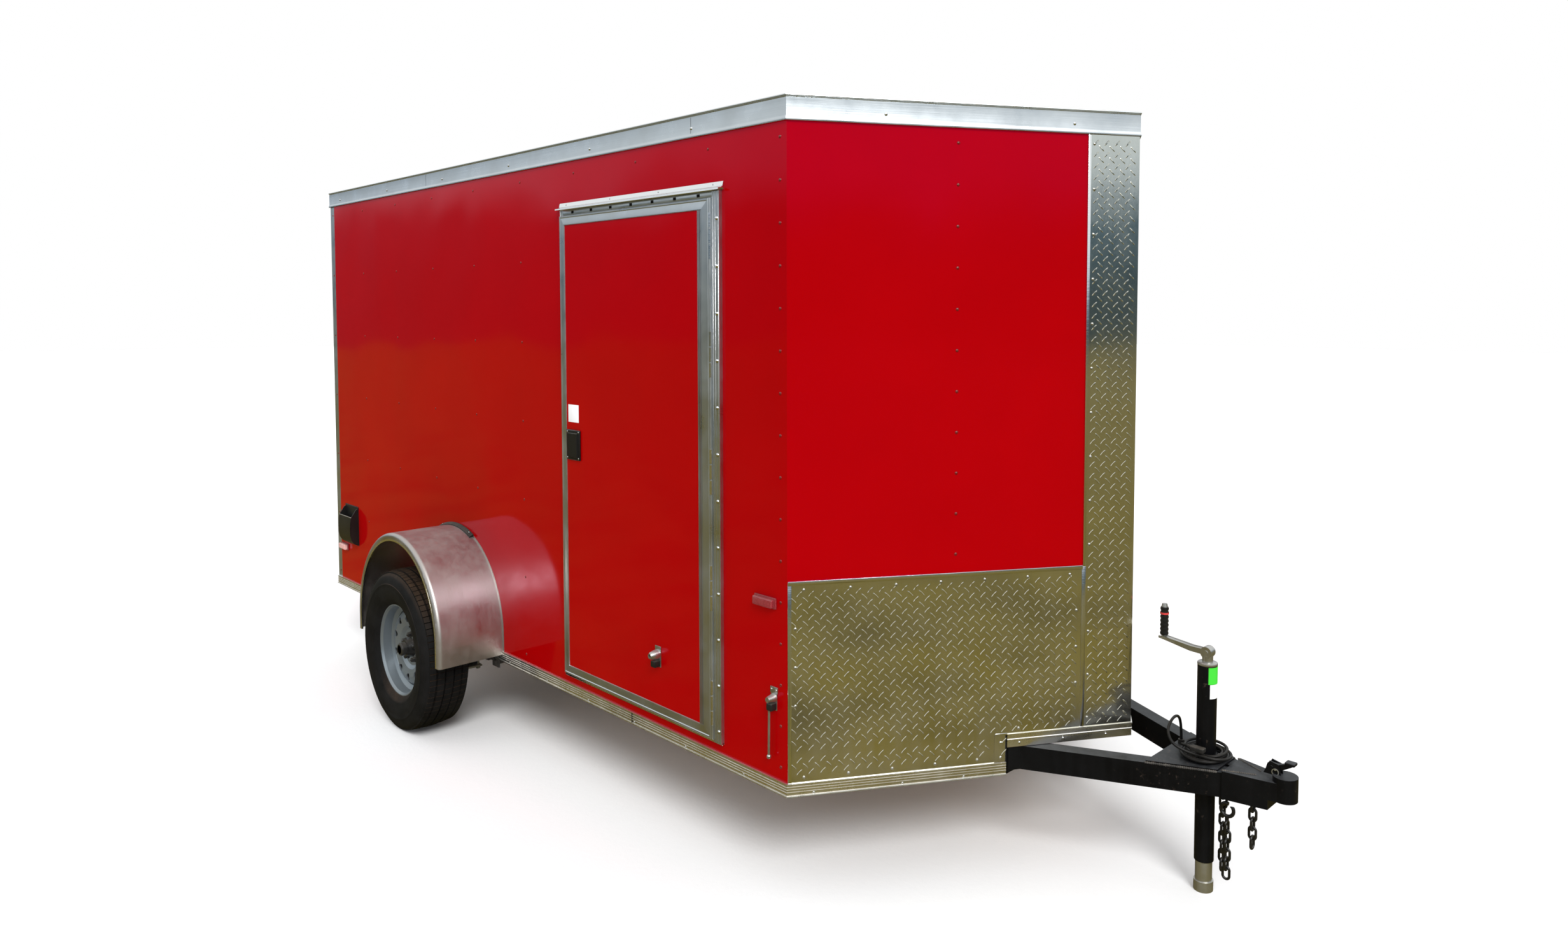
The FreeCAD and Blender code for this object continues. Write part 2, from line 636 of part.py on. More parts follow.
def on_nose(label, offset_in, offset_out, back, front, low, high):
    """A sheet on the left nose wall, between two places along X."""
    sheet = without(
        label + "_ring",
        plan(label + "_out", offset_out, low, high, "rear_x"),
        plan(label + "_in", offset_in, f"({low})-1", f"({high})+1", "rear_x-1"),
    )
    room = block(label + "_room", (back, "-1", "0"), (front, "half+20", "roof_top"))
    return within(label + "_part", sheet, room)


def tread_plate():
    """Stone guards on the nose walls, the column over the nose tip and the caps at the notches."""
    trim_top = "body_bottom+bottom_trim_height"
    high_trim_top = "nose_trim_low+bottom_trim_height"
    cap_back = "notch_x-notch_cap_width/nose_lift"
    low_part = on_nose("guard_low", "0", "sheet_thick", "corner_x+2", cap_back, trim_top, high_trim_top)
    high_part = on_nose("guard_high", "0", "sheet_thick", "corner_x+2", "column_x-1",
                        high_trim_top, "guard_top")
    guard = joined("guard", low_part, high_part)
    node("stone_guards", both_sides("guard_pair", guard))
    cap = on_nose("cap", "0", "trim_proud", f"{cap_back}+1", "notch_x+1",
                  f"{trim_top}+1", f"{high_trim_top}-2")
    node("notch_caps", both_sides("cap_pair", cap))
    wing = on_nose("wing", "0", "sheet_thick", "column_x", "nose_x+20", high_trim_top,
                   "roof_top-roof_trim_height")
    node("nose_column", joined("nose_column_whole", wing, mirror_of("wing_mirror", wing)))


def rear_frame():
    outer = block("rear_outer", ("rear_x", "-half", "rail_low"), ("rear_x+rear_depth", "half", "roof_low"))
    inner = block("rear_inner", ("rear_x-1", "-half+rear_post", "rail_top"),
                  ("rear_x+rear_depth+1", "half-rear_post", "roof_low-rear_header"))
    node("rear_frame", without("rear_ring", outer, inner))


# ---------------------------------------------------------------- side door

def side_door_frame():
    """Flange on the skin, liner through the wall, hinge strip and barrel."""
    flange = block("door_flange_plate", ("door_x", "-half-door_flange", "door_low"),
                   ("door_end_x", "-half", "door_high"))
    liner = block("door_liner", ("core_back_x-door_gap-jamb_thick", "-half", "threshold"),
                  ("core_front_x+door_gap+jamb_thick", "-half+wall_thick", "core_high+door_gap+jamb_thick"))
    hole = block("door_hole", ("core_back_x-door_gap", "-leaf_out_y", "core_low-door_gap"),
                 ("core_front_x+door_gap", "-half+wall_thick+1", "core_high+door_gap"))
    strip = block("door_hinge_strip", ("hinge_x+hinge_radius", "-half-hinge_strip_proud", "door_low"),
                  ("door_end_x", "-half", "door_high"))
    barrel = rod("door_barrel", ("hinge_x", "-leaf_out_y", "leaf_low"), "hinge_radius", "leaf_high-leaf_low")
    web = block("door_barrel_web", ("hinge_x+1", "-leaf_out_y+1", "leaf_low"),
                ("hinge_x+hinge_radius+2", "-half-hinge_strip_proud+1", "leaf_high"))
    ring = without("door_ring", joined("door_body", flange, liner), hole)
    node("side_door_frame", joined("door_frame", ring, strip, web, barrel))


def side_door():
    """The leaf: a plate over the frame, a core in the doorway and an aluminium rim."""
    plate = block("leaf_plate", ("leaf_back_x", "-leaf_out_y", "leaf_low"),
                  ("leaf_front_x", "-leaf_in_y", "leaf_high"))
    core = block("leaf_core", ("core_back_x", "-leaf_in_y", "core_low"),
                 ("core_front_x", "-half+door_core", "core_high"))
    red_low = ("leaf_back_x+door_rim_width", "-leaf_out_y-9", "leaf_low+door_rim_width")
    red_high = ("leaf_front_x-door_rim_width-8", "-leaf_in_y+1", "leaf_high-door_rim_width")
    red = block("leaf_red_room", red_low, red_high)
    node("side_door_panel", joined("leaf_panel", within("leaf_red", plate, red), core))
    rim = block("leaf_rim", ("leaf_back_x", "-leaf_out_y-door_rim_proud", "leaf_low"),
                ("leaf_front_x-2", "-leaf_in_y", "leaf_high"))
    node("side_door_rim", without("leaf_rim_ring", rim, block("leaf_rim_hole", red_low, red_high)))


def side_door_fittings():
    """Flush latch, the catch on the leaf, and the hold-back with its hanging rod on the wall."""
    face = "-leaf_out_y"
    back = "leaf_back_x+latch_inset"
    front = f"{back}+latch_width"
    latch = block("latch_body", (back, f"{face}-latch_proud", "latch_low"), (front, face, "latch_high"))
    dish = block("latch_dish", (f"{back}+12", f"{face}-latch_proud-1", "latch_low+18"),
                 (f"{front}-12", f"{face}-latch_proud/2", "latch_high-18"))
    paddle = block("latch_paddle", (f"{back}+28", f"{face}-latch_proud+1", "latch_low+26"),
                   (f"{front}-24", f"{face}-latch_proud/2+1", "latch_high-28"))
    node("side_door_latch", joined("latch", without("latch_tray", latch, dish), paddle))
    profile = [("0", "-36"), ("9", "-36"), ("30", "-14"), ("40", "6"), ("30", "22"), ("9", "36"), ("0", "36")]

    def fitting(label, x, wall):
        corners = [(f"-({wall})-({out})", f"fitting_height+({up})") for out, up in profile]
        return slab(label, "YZ", corners, f"{x}-fitting_half", f"{x}+fitting_half")

    node("side_door_catch", fitting("catch", "hinge_x-catch_back", "leaf_out_y"))
    bracket = fitting("bracket", "holdback_x", "half")
    hang_x = "holdback_x-7"
    hang_low = "body_bottom+bottom_trim_height+61"
    hang_start = (hang_x, "-half-16", f"{hang_low}+10")
    hang = rod("holdback_rod", hang_start, "5", f"fitting_height-28-({hang_low}+10)")
    tip = block("holdback_tip", (f"{hang_x}-10", "-half-22", hang_low),
                (f"{hang_x}+10", "-half-10", f"{hang_low}+16"))
    node("door_holdback", joined("holdback", bracket, hang, tip))


def drip_cap():
    """A small hood over the side door."""
    corners = [("-half", "door_high"), ("-half", "door_high+26"), ("-half-4", "door_high+26"),
               ("-half-24", "door_high+6"), ("-half-24", "door_high"), ("-half-21", "door_high"),
               ("-half-21", "door_high+5"), ("-half-4", "door_high+20")]
    node("drip_cap", slab("drip", "YZ", corners, "door_x-10", "door_end_x+10"))


# ---------------------------------------------------------------- ramp door

def ramp_door():
    side = "half-rear_post-ramp_gap"
    leaf = block("ramp_leaf", ("rear_x", f"-({side})", "ramp_low"), ("rear_x+ramp_thick", side, "ramp_high"))
    node("ramp_door_panel", leaf)
    barrel_spot = ("ramp_hinge_x", f"-({side}-60)", "ramp_hinge_z")
    barrel = rod("ramp_barrel", barrel_spot, "ramp_hinge_radius", f"2*({side}-60)", "y")
    foot = block("ramp_hinge_leaf", ("ramp_hinge_x-4", f"-({side}-60)", "ramp_hinge_z-36"),
                 ("rear_x", f"{side}-60", "ramp_hinge_z"))
    node("ramp_hinge", joined("ramp_hinge_whole", barrel, foot))
    back = "rear_x-rear_hardware"
    y = "half-bar_inset"
    bar = rod("lock_bar", (f"{back}+bar_radius+6", y, "ramp_low+40"), "bar_radius", "ramp_high-ramp_low-60")
    pieces = [bar]
    for index, share in enumerate((0.05, 0.36, 0.64, 0.95)):
        spot = f"ramp_low+{share}*(ramp_high-ramp_low)"
        guide_low = (f"{back}+2", f"{y}-32", f"{spot}-22")
        pieces.append(block(f"lock_guide_{index}", guide_low, ("rear_x", f"{y}+32", f"{spot}+22")))
    handle = block("lock_handle", (back, f"{y}-handle_reach", "handle_height-17"),
                   (f"{back}+9", f"{y}+16", "handle_height+17"))
    keeper = block("lock_keeper", (f"{back}+8", f"{y}-handle_reach+30", "handle_height-27"),
                   ("rear_x", f"{y}-handle_reach+70", "handle_height+27"))
    node("ramp_lock_bars", both_sides("lock_bars", joined("lock_bar_whole", *pieces, handle, keeper)))


# ---------------------------------------------------------------- fenders, lights and vents

def fenders():
    """Round fenders: an arc and two short straight skirts, with a rounded lip."""
    outer = v.fender_radius
    inner = outer - v.fender_gauge
    corner = v.fender_corner
    wide = v.fender_width
    lip_in = outer - v.fender_lip
    thick = wide - v.fender_gauge

    def profile(base, up):
        """The section at one place on the arc: base is on the fender's axis at the skin."""
        def spot(out, radius):
            return base + Vector(0, out, 0) + up * radius
        bow = math.sqrt(0.5)
        outer_bow = spot(wide - corner + corner * bow, outer - corner + corner * bow)
        thin = corner - v.fender_gauge
        inner_bow = spot(wide - corner + thin * bow, outer - corner + thin * bow)
        edges = [
            Part.LineSegment(spot(0, outer), spot(wide - corner, outer)),
            Part.Arc(spot(wide - corner, outer), outer_bow, spot(wide, outer - corner)),
            Part.LineSegment(spot(wide, outer - corner), spot(wide, lip_in)),
            Part.LineSegment(spot(wide, lip_in), spot(thick, lip_in)),
            Part.LineSegment(spot(thick, lip_in), spot(thick, outer - corner)),
            Part.Arc(spot(thick, outer - corner), inner_bow, spot(wide - corner, inner)),
            Part.LineSegment(spot(wide - corner, inner), spot(0, inner)),
            Part.LineSegment(spot(0, inner), spot(0, outer)),
        ]
        return Part.Face(Part.Wire([edge.toShape() for edge in edges]))

    axis_spot = Vector(v.axle_x, v.half, v.fender_centre)
    front = profile(axis_spot, Vector(1, 0, 0))
    rear = profile(axis_spot, Vector(-1, 0, 0))
    arch = front.revolve(axis_spot, Vector(0, -1, 0), 180)
    drop = Vector(0, 0, v.fender_low - v.fender_centre)
    # The skirts are notched where they pass over the bottom trim.
    room_low = Vector(v.axle_x - outer - 1, v.half - 1, 0)
    trim_room = Part.makeBox(2 * outer + 2, v.trim_proud + 1, v.body_bottom + v.bottom_trim_height, room_low)
    skirts = [end.extrude(drop).cut(trim_room) for end in (front, rear)]
    fender = arch.multiFuse(skirts).removeSplitter()
    node("fenders", both_sides("fender_pair", made("fender", fender)))


def lights():
    """Side markers near both ends, and the tail lights and three small lamps at the rear."""
    spots = {
        "front": ("front_marker_x", "front_marker_height"),
        "rear": ("rear_x+rear_marker_front", "rear_marker_height"),
    }
    markers = []
    for name, (x, z) in spots.items():
        low = (x, "half", f"{z}-marker_height/2")
        high = (f"{x}+marker_length", "half+marker_proud", f"{z}+marker_height/2")
        markers.append(block(f"marker_{name}", low, high))
    node("marker_lights", both_sides("marker_set", together("marker_side", *markers)))
    tail_low = ("rear_x-tail_proud", "half-8-tail_width", "tail_low")
    tail = block("tail_light", tail_low, ("rear_x", "half-8", "tail_high"))
    lamps = []
    lamp_top = "roof_top-roof_trim_height-2"
    for index in range(3):
        y = f"{index - 1}*lamp_pitch"
        low = ("rear_x-tail_proud+4", f"{y}-lamp_half", f"{lamp_top}-lamp_height")
        lamps.append(block(f"rear_lamp_{index}", low, ("rear_x", f"{y}+lamp_half", lamp_top)))
    node("rear_lights", together("rear_light_set", both_sides("tail_pair", tail), *lamps))


def side_vents():
    """Hooded vents low at the rear of both sides."""
    back = "rear_x+vent_back"
    corners = [("half", "vent_low"), ("half+vent_proud*0.8", "vent_low+vent_size*0.1"),
               ("half+vent_proud", "vent_low+vent_size*0.3"), ("half+vent_proud", "vent_low+vent_size*0.75"),
               ("half+vent_proud*0.6", "vent_low+vent_size*0.93"), ("half", "vent_low+vent_size")]
    node("side_vents", both_sides("vent_pair", slab("vent", "YZ", corners, back, f"{back}+vent_size*0.85")))


# ---------------------------------------------------------------- tongue, jack and coupler

def tongue_plate():
    """A plate on top of both beams round the jack."""
    def edge(x):
        return f"(apex_x-({x}))*tongue_slope-4"
    back = "jack_x+plate_front-plate_length"
    front = "jack_x+plate_front"
    corners = [(back, f"-({edge(back)})"), (front, f"-({edge(front)})"),
               (front, edge(front)), (back, edge(back))]
    plate = slab("plate_blank", "XY", corners, "rail_top", "plate_top")
    hole = rod("plate_hole", ("jack_x", "0", "rail_top-1"), "jack_radius+1", "plate_thick+2")
    node("tongue_plate", without("plate_cut", plate, hole))


def jack():
    """Outer tube with its flange, the sliding leg with its foot, and the crank."""
    tube_solid = rod("jack_outer", ("jack_x", "0", "jack_end"), "jack_radius", "jack_top-jack_end")
    flange = rod("jack_flange", ("jack_x", "0", "plate_top"), "jack_radius+26", "flange_thick")
    bore = rod("jack_bore", ("jack_x", "0", "jack_end-1"), "jack_radius-jack_gauge", "jack_top-jack_end-20")
    node("jack_tube", without("jack_hollow", joined("jack_fused", tube_solid, flange), bore))
    leg = rod("leg_bar", ("jack_x", "0", "1"), "leg_radius", "leg_length")
    foot = rod("leg_foot", ("jack_x", "0", "0"), "foot_radius", "foot_height")
    node("jack_leg", joined("leg", leg, foot))
    hub = rod("crank_hub", ("jack_x", "0", "jack_top+2"), "16", "20")
    knuckle = rod("crank_knuckle", ("jack_x", "-14", "crank_height"), "18", "28", "y")
    arm_corners = [("jack_x", "crank_height+6"), ("jack_x-crank_reach-12", "grip_low-2"),
                   ("jack_x-crank_reach-12", "grip_low-8"), ("jack_x-60", "crank_height-14"),
                   ("jack_x", "crank_height-12")]
    arm = slab("crank_arm", "XZ", arm_corners, "-11", "11")
    grip = rod("crank_grip", ("jack_x-crank_reach", "0", "grip_low-4"), "grip_radius", "grip_high-grip_low+4")
    node("jack_crank", joined("crank", hub, knuckle, arm, grip))


def coupler():
    """A ball coupler welded over the beams, with its latch on top."""
    wall = "coupler_wall"
    back = "apex_x-coupler_back"
    gap = "1"

    def edge(x, extra):
        return f"((apex_x-({x}))*tongue_slope+{extra})"
    mouth = "socket_x"
    outside = [(back, edge(back, wall + "+" + gap)), (mouth, "socket_outer-4"), (mouth, "-socket_outer+4"),
               (back, "-" + edge(back, wall + "+" + gap))]
    shell = slab("coupler_shell", "XY", outside, "rail_low-2", f"rail_top+{gap}+{wall}")
    inside = [(f"{back}-1", edge(f"{back}-1", gap)), ("apex_x", "2"), ("apex_x", "-2"),
              (f"{back}-1", "-" + edge(f"{back}-1", gap))]
    room = slab("coupler_room", "XY", inside, "rail_low-3", f"rail_top+{gap}")
    trim = block("coupler_trim", ("socket_x-socket_outer", "-half", "rail_low-3"),
                 ("apex_x+coupler_nose", "half", "socket_mouth"))
    top = "socket_ball+socket_outer"
    dome = rod("coupler_dome", ("socket_x", "0", "socket_mouth"), "socket_outer", f"{top}-socket_mouth")
    deep = "socket_ball-socket_mouth+1"
    bore = rod("coupler_bore", ("socket_x", "0", "socket_mouth-1"), "socket_radius", deep)
    ball = doc.addObject("Part::Sphere", "coupler_ball")
    ball.setExpression("Radius", bound("socket_radius"))
    place(ball, ("socket_x", "0", "socket_ball"))
    body = joined("coupler_body", without("coupler_hollow", shell, room, trim), dome)
    node("coupler", without("coupler_cut", body, bore, ball))
    base = block("latch_base", ("socket_x-62", "-11", f"rail_top+{gap}+{wall}"),
                 ("socket_x-socket_outer-1", "11", f"{top}+18"))
    lever = [("socket_x-52", f"{top}+4"), ("socket_x-30", f"{top}+2"), ("socket_x+30", f"{top}+38"),
             ("socket_x+30", f"{top}+48"), ("socket_x-40", f"{top}+24")]
    node("coupler_latch", joined("latch_whole", base, slab("latch_lever", "XZ", lever, "-13", "13")))


# A chain link: its wire, the bend of its ends, its straight sides and the pitch of the hanging links.
LINK_WIRE = 4.0
LINK_BEND = 10.5
LINK_STRAIGHT = 17.0
LINK_PITCH = 28.5


def chain_link(spot, turned):
    """One upright oval link, its middle at a spot."""
    side = Vector(1, 0, 0) if turned else Vector(0, 1, 0)
    across = Vector(0, 1, 0) if turned else Vector(1, 0, 0)
    up = Vector(0, 0, 1)
    top = spot + up * (LINK_STRAIGHT / 2)
    low = spot - up * (LINK_STRAIGHT / 2)
    room = 2 * (LINK_BEND + LINK_WIRE)
    pieces = []
    for centre, room_low in ((top, top.z), (low, low.z - room)):
        ring = Part.makeTorus(LINK_BEND, LINK_WIRE, centre, across)
        corner = Vector(centre.x - room, centre.y - room, room_low)
        pieces.append(ring.common(Part.makeBox(2 * room, 2 * room, room, corner)))
    for sign in (-1, 1):
        pieces.append(Part.makeCylinder(LINK_WIRE, LINK_STRAIGHT, low + side * (LINK_BEND * sign), up))
    return pieces[0].multiFuse(pieces[1:])


def safety_chains():
    """Two chains that hang under the tongue; one carries its hook at the top."""
    # Each strand: forward of the jack, to the left, links, and its top link below the rails.
    strands = [(48, 26, 9, 24), (86, -30, 6, 100), (150, 6, 5, 24)]
    links = []
    for x, y, count, drop in strands:
        for index in range(count):
            spot = Vector(v.jack_x + x, y, v.rail_low - drop - index * LINK_PITCH)
            links.append(made(f"chain_link_{len(links)}", chain_link(spot, index % 2 == 1)))
    node("safety_chains", together("chain_links", *links))
    bend = 20
    wire = 5.5
    eye = Vector(v.jack_x + 86, -30, v.rail_low - 46)
    hook = Part.makeTorus(bend, wire, eye, Vector(0, 1, 0))
    throat = Part.makeBox(22, 20, 14, eye + Vector(4, -10, 12))
    shank = Part.makeCylinder(wire, 10, eye - Vector(0, 0, bend + 10), Vector(0, 0, 1))
    node("chain_hook", made("hook", hook.cut(throat).fuse(shank)))


# ---------------------------------------------------------------- wiring cord

# Points of the cord from its gland to the coil, from the jack's axis at the tongue plate's top.
CORD_POINTS = [
    Vector(-104, 44, 14), Vector(-106, 46, 60), Vector(-102, 20, 100), Vector(-98, -28, 108),
    Vector(-94, -74, 84), Vector(-66, -98, 54), Vector(-26, -80, 34), Vector(10, -63, 28),
]


def cord_path(points):
    """Straight runs joined by arcs that are as large as the runs allow."""
    edges = []
    start = points[0]
    for before, corner, after in zip(points, points[1:], points[2:]):
        into = (corner - before).normalize()
        out = (after - corner).normalize()
        turn = into.getAngle(out)
        shorter = min((corner - before).Length, (after - corner).Length)
        reach = 0.45 * shorter
        first = corner - into * reach
        last = corner + out * reach
        radius = reach / math.tan(turn / 2)
        bisector = (out - into).normalize()
        middle = corner + bisector * (radius / math.cos(turn / 2) - radius)
        print(f"cord bend radius {radius:.1f}")
        edges.append(Part.LineSegment(start, first).toShape())
        edges.append(Part.Arc(first, middle, last).toShape())
        start = last
    edges.append(Part.LineSegment(start, points[-1]).toShape())
    return Part.Wire(edges)


def wiring_cord():
    """Gland on the tongue plate, the cord, its coil round the jack and its plug."""
    base = Vector(v.jack_x, 0, v.plate_top)
    gland = rod("gland", (f"jack_x{CORD_POINTS[0].x:+}", f"{CORD_POINTS[0].y}", "plate_top"), "10", "14")
    node("cord_gland", gland)
    path = cord_path([base + point for point in CORD_POINTS])
    ring = Part.Wire(Part.Circle(path.Vertexes[0].Point, Vector(0, 0, 1), v.cord_radius).toShape())
    tube_shape = path.makePipeShell([ring], True, False)
    print(f"cord volume {tube_shape.Volume:.0f}, section times length "
          f"{math.pi * v.cord_radius ** 2 * path.Length:.0f}, length {path.Length:.0f}")
    low = v.flange_thick + 1
    coil = Part.makeCylinder(v.coil_outer, v.coil_height, base + Vector(0, 0, low))
    coil = coil.cut(Part.makeCylinder(v.coil_inner, v.coil_height, base + Vector(0, 0, low)))
    coil_piece = made("coil", coil)
    node("cord_tube", made("cord_run", tube_shape.cut(coil)))
    node("cord_coil", coil_piece)
    top = f"plate_top+{low}+coil_height"
    plug = block("plug_body", ("jack_x-30", "-76", top), ("jack_x+26", "-52", f"{top}+14"))
    node("cord_plug", plug)


def build():
    frame_rails()
    tongue_beams()
    crossmembers()
    nose_rails()
    axle()
    eyes, spring_y = leaf_springs()
    spring_hangers(eyes, spring_y)
    wheels()
    walls()
    floor_and_roof()
    roof_trim()
    bottom_trim()
    tread_plate()
    rear_frame()
    side_door_frame()
    side_door()
    side_door_fittings()
    drip_cap()
    ramp_door()
    fenders()
    lights()
    side_vents()
    tongue_plate()
    jack()
    coupler()
    safety_chains()
    wiring_cord()
    doc.recompute()


def check_and_write():
    """Refuses a failed object or an empty or invalid shape, then writes every sub-part."""
    for item in doc.Objects:
        if "Invalid" in item.State or "Error" in item.State:
            raise RuntimeError(f"{item.Name} ({item.Label}) failed: {item.State}")
    os.makedirs("parts", exist_ok=True)
    for name, piece in NODES.items():
        if piece.Shape.isNull() or not piece.Shape.isValid():
            raise RuntimeError(f"{name} has no valid shape")
    for name, piece in NODES.items():
        piece.Shape.exportStep(os.path.join("parts", name + ".step"))
        box = piece.Shape.BoundBox
        spans = ((box.XMin, box.XMax), (box.YMin, box.YMax), (box.ZMin, box.ZMax))
        reach = " ".join(f"{axis} {start:.0f}..{end:.0f}" for axis, (start, end) in zip("xyz", spans))
        print(f"{name}: {len(piece.Shape.Solids)} solids, {piece.Shape.Volume / 1000:.0f} cm3, {reach}")


build()
check_and_write()
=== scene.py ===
"""Looks of an enclosed cargo trailer, laid out as an add-on and run as a script.

Metres. +X is the direction of travel, +Y is the trailer's left, +Z is up.
Places start from the boxes of the fixed frame's nodes; the numbers beside them are offsets on the
face or the edge they stand on.
"""
import math
import random

import bmesh
import bpy
from bpy.props import FloatProperty, FloatVectorProperty, IntProperty, PointerProperty
from bpy.types import Operator, Panel, PropertyGroup
from mathutils import Matrix, Vector


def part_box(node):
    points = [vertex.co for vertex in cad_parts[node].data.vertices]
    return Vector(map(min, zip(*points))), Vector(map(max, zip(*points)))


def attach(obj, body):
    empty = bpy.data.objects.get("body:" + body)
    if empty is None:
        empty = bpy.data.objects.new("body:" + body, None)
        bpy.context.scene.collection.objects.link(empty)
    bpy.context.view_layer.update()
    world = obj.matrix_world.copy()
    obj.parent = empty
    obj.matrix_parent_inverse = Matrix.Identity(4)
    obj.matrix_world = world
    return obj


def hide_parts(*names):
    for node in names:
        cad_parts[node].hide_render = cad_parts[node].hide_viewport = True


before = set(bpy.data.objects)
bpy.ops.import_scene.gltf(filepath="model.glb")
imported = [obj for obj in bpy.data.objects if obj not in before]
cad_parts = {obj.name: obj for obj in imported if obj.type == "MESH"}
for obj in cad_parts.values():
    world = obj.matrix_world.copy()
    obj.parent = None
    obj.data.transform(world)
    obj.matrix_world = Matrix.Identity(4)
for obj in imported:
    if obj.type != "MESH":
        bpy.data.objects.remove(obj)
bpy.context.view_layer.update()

bl_info = {
    "name": "Cargo trailer looks",
    "version": (1, 0, 0),
    "blender": (4, 5, 0),
    "location": "View3D > Sidebar > Trailer",
    "description": "Finishes and fine pieces of an enclosed cargo trailer around its fixed frame",
    "category": "Object",
}

BOXES = {name: tuple(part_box(name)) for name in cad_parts}
UP = Vector((0.0, 0.0, 1.0))
MM = 0.001
WELD = 1e-6  # corners nearer than this are one


def low(node):
    """A frame node's lowest corner."""
    return BOXES[node][0]


def high(node):
    """A frame node's highest corner."""
    return BOXES[node][1]


def ends(node):
    """A frame node's lowest and highest corners."""
    return BOXES[node]


def halfway(node):
    """The middle of a frame node, along X."""
    return (low(node).x + high(node).x) / 2


REAR = low("rear_frame").x
CORNER = high("right_wall").x
TIP = high("nose_wall_right").x
HALF = -low("right_wall").y
DEPTH = TIP - CORNER
RUN = math.hypot(DEPTH, HALF)
LIFT = RUN / DEPTH
SKIRT = low("bottom_trim").z
ROOF_LOW = low("roof").z
ROOF_TOP = high("roof_trim").z
RIGHT, LEFT = -1, 1
FINISHES = {}


# ---------------------------------------------------------------- sizes and colours

def length(name, text, size):
    return FloatProperty(name=name, description=text, default=size, unit="LENGTH", precision=4)


def colour(name, text, shade):
    return FloatVectorProperty(name=name, description=text, default=shade, subtype="COLOR", min=0, max=1)


class StageSizes(PropertyGroup):
    """Camera, floor and light."""

    spot: FloatVectorProperty(
        name="Camera", description="Where the camera stands", default=(3.5548, -2.9972, 1.7833),
        subtype="TRANSLATION", unit="LENGTH")
    heading: FloatProperty(name="Heading", description="Direction of view from +X",
                           default=math.radians(133.33), subtype="ANGLE")
    pitch: FloatProperty(name="Pitch", description="Direction of view above level",
                         default=math.radians(-2.93), subtype="ANGLE")
    roll: FloatProperty(name="Roll", description="Tilt of the horizon", default=math.radians(0.17),
                        subtype="ANGLE")
    lens: FloatProperty(name="Lens", description="Focal length in millimetres", default=23.67)
    shift: FloatVectorProperty(
        name="Shift", description="Framing of the picture", size=2, default=(-0.0574, -0.0663))
    floor_shade: colour("Floor", "Colour of the studio floor", (0.95, 0.95, 0.95))
    ground_shade: colour("Mirrored ground", "What shiny pieces see of the floor", (0.155, 0.122, 0.018))
    sun_power: FloatProperty(name="Sun", description="Strength of the soft key light", default=2.2)
    sky_power: FloatProperty(name="Sky", description="Strength of the sky dome", default=1.0)


class ShellSizes(PropertyGroup):
    """Skins, trims and their screws."""

    skin: colour("Skin", "Paint of the side sheets", (0.300, 0.0004, 0.0008))
    trim: colour("Trim", "Mill aluminium of the trims", (0.62, 0.66, 0.69))
    polished: colour("Polished trim", "Bright aluminium edges and screws", (0.86, 0.87, 0.88))
    stud_pitch: length("Stud pitch", "Between the rows of screws in the skins", 0.4064)
    screw_pitch: length("Screw pitch", "Between the screws in one row", 0.318)
    close_pitch: length("Close pitch", "Between the screws at the front corner and down the nose sheet",
                        0.127)
    screw_radius: length("Screw head", "Radius of a screw head", 0.0052)
    trim_screw_pitch: length("Trim screws", "Between the screws of the trims", 0.610)


class TreadSizes(PropertyGroup):
    """Raised bars of the tread plate."""

    cell: length("Cell", "Pitch of the pattern", 0.0365)
    bar: length("Bar", "Length of a raised bar", 0.0262)
    width: length("Width", "Width of a raised bar", 0.0050)
    height: length("Height", "Height of a raised bar", 0.0013)


class WheelSizes(PropertyGroup):
    """Tyres and hubs."""

    blocks: IntProperty(name="Blocks", description="Tread blocks round a tyre", default=80)
    groove: length("Groove", "Depth of the tread", 0.0068)
    nut_circle: length("Nut circle", "Radius of the wheel nuts' circle", 0.0572)
    nut_count: IntProperty(name="Nuts", description="Wheel nuts", default=5)
    rubber: colour("Rubber", "Tyre rubber", (0.0045, 0.0045, 0.0045))
    silver: colour("Rim", "Silver wheel paint", (0.21, 0.245, 0.27))


class CordSizes(PropertyGroup):
    """The wiring cord at the tongue."""

    diameter: length("Diameter", "Thickness of the cord", 0.009)
    reach: length("Length", "Whole length of the cord", 2.6)


SETTINGS = {
    "trailer_stage": StageSizes,
    "trailer_shell": ShellSizes,
    "trailer_tread": TreadSizes,
    "trailer_wheels": WheelSizes,
    "trailer_cord": CordSizes,
}


# ---------------------------------------------------------------- mesh helpers

def face_frame(spot, along, out):
    """A matrix whose axes run along a face, out of it and up."""
    made = Matrix((along, out, UP)).transposed().to_4x4()
    made.translation = spot
    return made


def side_face(side):
    """Axes of a side wall: X from the origin, out from the skin, Z from the ground."""
    return face_frame(Vector((0, side * HALF, 0)), Vector((1, 0, 0)), Vector((0, side, 0)))


def nose_face(side):
    """Axes of a nose wall: from the front corner towards the tip, out from the skin."""
    along = Vector((DEPTH, -side * HALF, 0)) / RUN
    out = Vector((HALF, side * DEPTH, 0)) / RUN
    return face_frame(Vector((CORNER, side * HALF, 0)), along, out)


def rear_face():
    """Axes of the rear: along Y, out of the rear frame."""
    return face_frame(Vector((REAR, 0, 0)), Vector((0, 1, 0)), Vector((-1, 0, 0)))


def outward(place):
    """The way out of a face."""
    return place.to_3x3() @ Vector((0, 1, 0))


def nose_along(x):
    """How far along a nose wall a place along X is."""
    return (x - CORNER) * LIFT


def flat(spot, scale):
    """A move and a scale, without a turn."""
    return Matrix.Translation(spot) @ Matrix.Diagonal((*scale, 1.0))


def even(count):
    """Shares from 0 to 1, evenly apart."""
    return [index / (count - 1) for index in range(count)]


